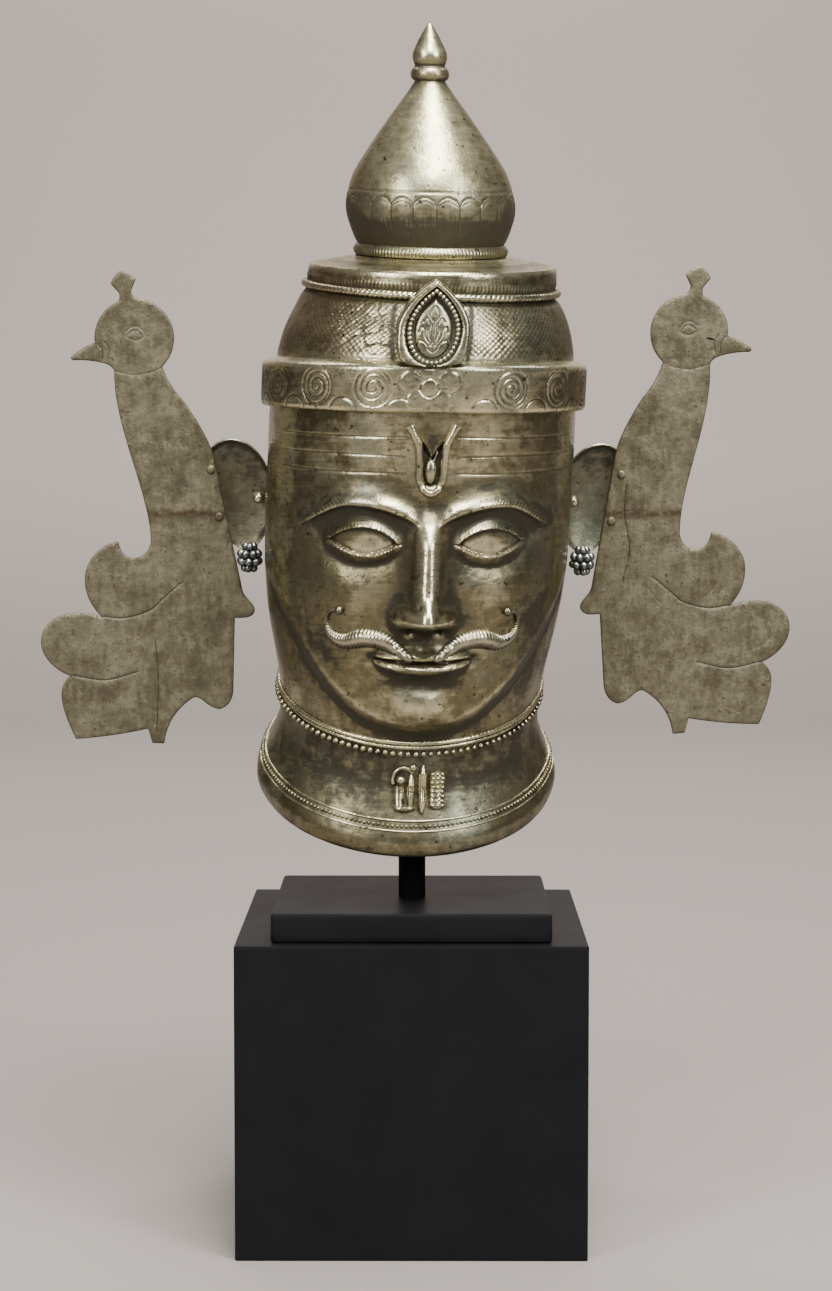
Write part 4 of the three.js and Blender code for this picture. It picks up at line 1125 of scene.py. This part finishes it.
class Shade:
    """One output in a shader's node tree, usable in sums and products like a number."""

    def __init__(self, tree, socket=None):
        self.tree, self.socket = tree, socket

    def node(self, kind, settings=(), inputs=(), output=0):
        """A node with its settings made first and its inputs given values or links; returns one output."""
        made = self.tree.nodes.new(kind)
        for name, value in dict(settings).items():
            setattr(made, name, value)
        for name, value in dict(inputs).items():
            if isinstance(value, Shade):
                self.tree.links.new(value.socket, made.inputs[name])
            else:
                made.inputs[name].default_value = value
        return Shade(self.tree, made.outputs[output])

    def math(self, operation, *values):
        """A maths node on numbers or Shades."""
        return self.node("ShaderNodeMath", {"operation": operation}, enumerate(values))

    def size(self):
        """The value without its sign."""
        return self.math("ABSOLUTE", self)

    def __add__(self, other):
        return self.math("ADD", self, other)

    __radd__ = __add__

    def __sub__(self, other):
        return self.math("SUBTRACT", self, other)

    def __rsub__(self, other):
        return self.math("SUBTRACT", other, self)

    def __mul__(self, other):
        return self.math("MULTIPLY", self, other)

    __rmul__ = __mul__

    def rise(self, low, high):
        """0 below low, 1 above high, an S curve between."""
        inputs = {"Value": self, "From Min": low, "From Max": high}
        return self.node("ShaderNodeMapRange", {"interpolation_type": "SMOOTHSTEP"}, inputs)

    def blend(self, first, second):
        """Colour from first at 0 to second at 1; each is a Shade or three numbers."""
        first, second = (end if isinstance(end, Shade) else (*end, 1) for end in (first, second))
        inputs = {0: self, 6: first, 7: second}
        return self.node("ShaderNodeMix", {"data_type": "RGBA"}, inputs, 2)

    def clouds(self, where, scale, detail=4, roughness=0.55):
        """Noise from 0 to 1 with about scale waves a metre."""
        inputs = {"Vector": where, "Scale": scale, "Detail": detail, "Roughness": roughness}
        return self.node("ShaderNodeTexNoise", (), inputs)

    def relief(self, height, strength, distance):
        """A bumped normal: height 1 stands up by the distance in metres."""
        inputs = {"Height": height, "Strength": strength, "Distance": distance}
        return self.node("ShaderNodeBump", (), inputs)


def finish_of(name):
    """A new material: its principled shader and a first Shade on its tree."""
    material = bpy.data.materials.new(name)
    material.use_nodes = True
    tree = material.node_tree
    return material, tree.nodes["Principled BSDF"], Shade(tree)


def connect(surface, inputs):
    """Links or sets the principled shader's own inputs."""
    for name, value in inputs.items():
        if isinstance(value, Shade):
            value.tree.links.new(value.socket, surface.inputs[name])
        else:
            surface.inputs[name].default_value = value


def coordinates(s):
    """Object coordinates in metres, and the x and z among them."""
    where = s.node("ShaderNodeTexCoord", output=3)
    across = s.node("ShaderNodeSeparateXYZ", (), {0: where})
    return where, across, Shade(s.tree, across.socket.node.outputs["Z"])


def stretched(where, factors):
    """Coordinates multiplied by one factor for each axis."""
    return where.node("ShaderNodeVectorMath", {"operation": "MULTIPLY"}, {0: where, 1: factors})


def stained(tone, stains):
    """The tone with stains laid over it in turn, each a share and a colour."""
    for share, stain in stains:
        tone = share.blend(tone, stain)
    return tone


def cast_finish(name, bright, middle, dark, rough, clouding):
    """Worn bronze: dark in the hollows, olive brown on the open skin, worn bright on the high places, with
    clouds of green, cool grey and brown, an orange tinge high on the left, dark specks and pits and a fine
    grain. Wear is the point attribute shifted by noise; each noise has its waves a metre. The attribute also
    carries painted light, so the bright blend is also a painted highlight on fronts and tops, and the dark
    blend is also painted shade on sides, undersides and painted shadows."""
    material, surface, s = finish_of(name)
    where, across, height = coordinates(s)
    wear_and_shade = s.node("ShaderNodeAttribute", {"attribute_name": "wear_and_shade"}, (), 2)
    broad = s.clouds(where, 13, 2) - 0.5
    patches = s.clouds(where, 46, 3, 0.66) - 0.5
    mottle = s.clouds(where, 170, 3, 0.68) - 0.5
    specks = s.clouds(where, 620, 2, 0.7)
    pits = s.clouds(where, 290, 1, 0.5)
    streaks = s.clouds(stretched(where, (1, 1, 9)), 55, 2, 0.65) - 0.5
    worn = wear_and_shade + clouding * (0.7 * patches + 0.5 * mottle + 0.5 * broad + 0.3 * streaks)
    # bright where worn and where a painted highlight is carried; dark in hollows and where painted shade is
    # carried
    rubbed_and_highlit = worn.rise(0.42, 0.84)
    hollow = worn.rise(0.42, 0.18)
    grain = mottle + 0.5 * (specks - 0.5)
    high_left = (-0.014 - across).rise(0, 0.035) * height.rise(0.5, 0.54)
    tone = stained(rubbed_and_highlit.blend(middle, bright), (
        (0.6 * (broad + 0.8 * patches).rise(0, 0.2), COOL_GREY),
        (0.16 * grain.rise(0, 0.26), bright),
        (0.2 * grain.rise(0, -0.26), dark),
        (0.4 * (mottle + patches - 0.6 * broad).rise(0.06, 0.3), BROWN),
        (0.42 * high_left * (broad + 0.6 * patches).rise(-0.3, 0.12), ORANGE),
        (0.9 * hollow, dark),
        (0.7 * specks.rise(0.66, 0.74), dark),
        (0.8 * pits.rise(0.7, 0.75), dark),
    ))
    uneven = clouding * (0.3 * patches + 0.2 * mottle + 0.25 * streaks)
    connect(surface, {
        "Base Color": tone,
        "Metallic": 0.95 - 0.4 * hollow,
        "Roughness": rough - 0.08 * rubbed_and_highlit + 0.22 * hollow + uneven,
        "Normal": s.relief(mottle * 1.4 + specks * 0.5, 0.3, 0.0006),
    })
    return material


def sheet_finish(name):
    """Flat plate gone dull: olive grey with faint brown and paler clouds, upright strokes, scattered dark
    pits, a brown level seam across the necks and dark cut lines; painted shade along the rim and on faces
    turned away from the front, and a painted highlight on upward faces."""
    material, surface, s = finish_of(name)
    where, _, height = coordinates(s)
    wear_and_shade = s.node("ShaderNodeAttribute", {"attribute_name": "wear_and_shade"}, (), 2)
    broad = s.clouds(where, 17, 2, 0.6)
    patches = s.clouds(where, 75, 3, 0.68)
    specks = s.clouds(where, 480, 2, 0.7)
    fine = s.clouds(where, 210, 3, 0.72) - 0.5
    strokes = s.clouds(stretched(where, (1, 1, 0.14)), 330, 2, 0.68) - 0.5
    grain = patches + 0.9 * fine + 0.55 * strokes
    seam = 1 - (1000 * height - SEAM_HEIGHT + 9 * (patches - 0.5)).size() * 0.22
    ground = (broad + 0.5 * (patches - 0.5)).rise(0.36, 0.66)
    tone = stained(ground.blend((0.109, 0.097, 0.056), (0.149, 0.135, 0.083)), (
        (0.42 * grain.rise(0.48, 0.72), (0.25, 0.23, 0.15)),
        (0.55 * grain.rise(0.48, 0.26), (0.062, 0.051, 0.03)),
        (0.85 * seam.rise(0, 1) * (fine + 0.5).rise(0.3, 0.55), (0.05, 0.026, 0.01)),
        # dark: cut lines, plus painted shade on the rim and on faces turned away; pale: painted highlight on
        # upward faces
        (0.85 * wear_and_shade.rise(0.44, 0.1), (0.04, 0.033, 0.02)),
        (0.6 * wear_and_shade.rise(0.58, 0.7), (0.3, 0.27, 0.18)),
        (0.85 * (specks + 0.4 * fine).rise(0.625, 0.72), (0.045, 0.034, 0.018)),
    ))
    connect(surface, {
        "Base Color": tone,
        "Metallic": 0.6,
        "Roughness": 0.5 + 0.25 * (patches - 0.5) - 0.1 * (broad - 0.5),
        "Normal": s.relief(specks * 0.7 + fine * 2 + strokes * 0.8, 0.45, 0.0007),
    })
    return material


def paint_finish(name, shade, roughness):
    """Black satin paint, slightly blue and cloudy, with a faint grain."""
    material, surface, s = finish_of(name)
    where = s.node("ShaderNodeTexCoord", output=3)
    cloud = s.clouds(where, 30, 3)
    tint = np.array([1, 1, 1.12]) * shade
    connect(surface, {
        "Base Color": cloud.blend(tint, 1.5 * tint),
        "Roughness": roughness + 0.12 * (cloud - 0.5),
        "Specular IOR Level": 0.06,
        "Normal": s.relief(s.clouds(where, 900, 2), 0.12, 0.0003),
    })
    return material


def backdrop():
    """Floor that curves up into a wall: a profile of flat, quarter circle and upright, spread sideways."""
    front, bend, radius, top, half = -5, 3, 1.4, 5, 7
    turn = np.linspace(0, np.pi / 2, 24)
    curve = np.stack([bend + radius * np.sin(turn), radius - radius * np.cos(turn)], 1)
    line = np.vstack([[[front, 0]], curve, [[bend + radius, top]]])
    points = spread([-half, half], line[:, :1], line[:, 1:]).reshape(-1, 3)
    mesh = bpy.data.meshes.new("backdrop")
    mesh.from_pydata(points.tolist(), [], quads(len(line), 2)[:, ::-1].tolist())
    mesh.shade_smooth()
    material, surface, s = finish_of("warm_grey_paper")
    # painted shade: the paper is darker on the floor and lighter from half a metre up the wall
    tone = coordinates(s)[2].rise(0, 0.5).blend((0.318, 0.281, 0.255), (0.425, 0.37, 0.336))
    connect(surface, {"Base Color": tone, "Roughness": 0.95, "Specular IOR Level": 0.1})
    mesh.materials.append(material)
    sweep = bpy.data.objects.new("backdrop", mesh)
    bpy.context.scene.collection.objects.link(sweep)


def softbox(name, place_at, target, width, height, power):
    """A rectangular lamp at a place, turned towards its target; metres and watts."""
    lamp = bpy.data.lights.new(name, "AREA")
    lamp.shape = "RECTANGLE"
    lamp.size, lamp.size_y, lamp.energy = width, height, power
    thing = bpy.data.objects.new(name, lamp)
    thing.location = place_at
    thing.rotation_euler = (Vector(target) - Vector(place_at)).to_track_quat("-Z", "Y").to_euler()
    bpy.context.scene.collection.objects.link(thing)


def studio():
    """Two tall soft lamps in front to left and right, one high in front, a soft one overhead, one on the
    wall behind, a low grey sky and the camera."""
    middle = (0, 0, 0.45)
    softbox("lamp_left", (-1.3, -1.7, 1.25), middle, 0.5, 1.1, 30)
    softbox("lamp_right", (1.35, -1.6, 1.3), middle, 0.5, 1.1, 30)
    softbox("lamp_front", (0.1, -2, 2.15), middle, 0.9, 0.6, 42)
    softbox("lamp_above", (0.25, -0.7, 2.2), middle, 0.85, 1.4, 76)
    softbox("lamp_backdrop", (0, 1.6, 3.2), (0, 4, 0.2), 3.4, 1.2, 176)
    world = bpy.data.worlds.new("room")
    bpy.context.scene.world = world
    world.use_nodes = True
    sky = world.node_tree.nodes["Background"]
    sky.inputs["Color"].default_value = (0.32, 0.31, 0.3, 1)
    sky.inputs["Strength"].default_value = 0.3
    camera = bpy.data.objects.new("camera", bpy.data.cameras.new("camera"))
    camera.data.lens, camera.data.sensor_width = 73.45, 36
    camera.location = (0.008, -1.58, 0.4556)
    camera.rotation_euler = (math.radians(86.04), 0, math.radians(0.207))
    bpy.context.scene.collection.objects.link(camera)
    bpy.context.scene.camera = camera


# The whole
def assemble():
    """Every piece with its finish and the solids it stands for."""
    bronze = {name: cast_finish(name, *tones) for name, tones in BRONZES.items()}
    skin_finish = bronze["cast_bronze"]
    plate_finish = sheet_finish("sheet_bronze")
    black = paint_finish("stand_paint", 0.0068, 0.42)
    rod_black = paint_finish("rod_paint", 0.004, 0.5)
    for name, parts, node in (
        ("face", [face_mask()], "face_mask"),
        ("moustache", [moustache(1), moustache(-1)], "face_mask"),
        ("forehead_mark", [forehead_mark()], "face_mask"),
        ("necklace", [necklace()], "face_mask"),
        ("collar_beads", [hem()], "face_mask"),
        ("throat_clasp", [clasp()], "face_mask"),
        ("crown_band", [crown_band()], "crown"),
        ("crown_cap", [crown_cap()], "crown"),
        ("crown_rope", [rope()], "crown"),
    ):
        finish = bronze["rubbed_bronze"] if name == "moustache" else skin_finish
        show(name, parts, finish, [node])
    show("dome", dome(), bronze["dome_bronze"], ["dome"], dome_shift)
    show("medallion", medallion(), skin_finish, ["medallion"])
    for side, name in ((-1, "left"), (1, "right")):
        put = on_side(side)
        stud = balls([93.4, 15.2, 158.7], 3.5, 16, 20, 0.9)
        for piece, parts, finish in (
            ("ear_", [ear()], bronze["dull_bronze"]),
            ("ear_stud_", [stud], skin_finish),
            ("earring_", earring(), bronze["silvered_bronze"]),
        ):
            show(piece + name, parts, finish, [piece + name], put)
        show("peacock_" + name, [peacock(side)], plate_finish, ["peacock_" + name], put)
        pair = [f"rivet_{name}_{level}" for level in RIVETS]
        show("rivets_" + name, rivets(), plate_finish, pair, put)
    step_bottom = BLOCK_HEIGHT + GAP
    block = slab(BLOCK_SIDE, BLOCK_SIDE, 0, BLOCK_HEIGHT, 0, 1.2, 0.8)
    step = slab(STEP_WIDTH, STEP_DEPTH, step_bottom, step_bottom + STEP_HEIGHT, STEP_CENTRE_Y, 3, 1.5)
    show("plinth_block", [block], black, ["plinth_block"], upright, 30)
    show("plinth_step", [step], black, ["plinth_step"], upright, 30)
    show("rod", [rod()], rod_black, ["rod"], upright, 60)


assemble()
backdrop()
studio()
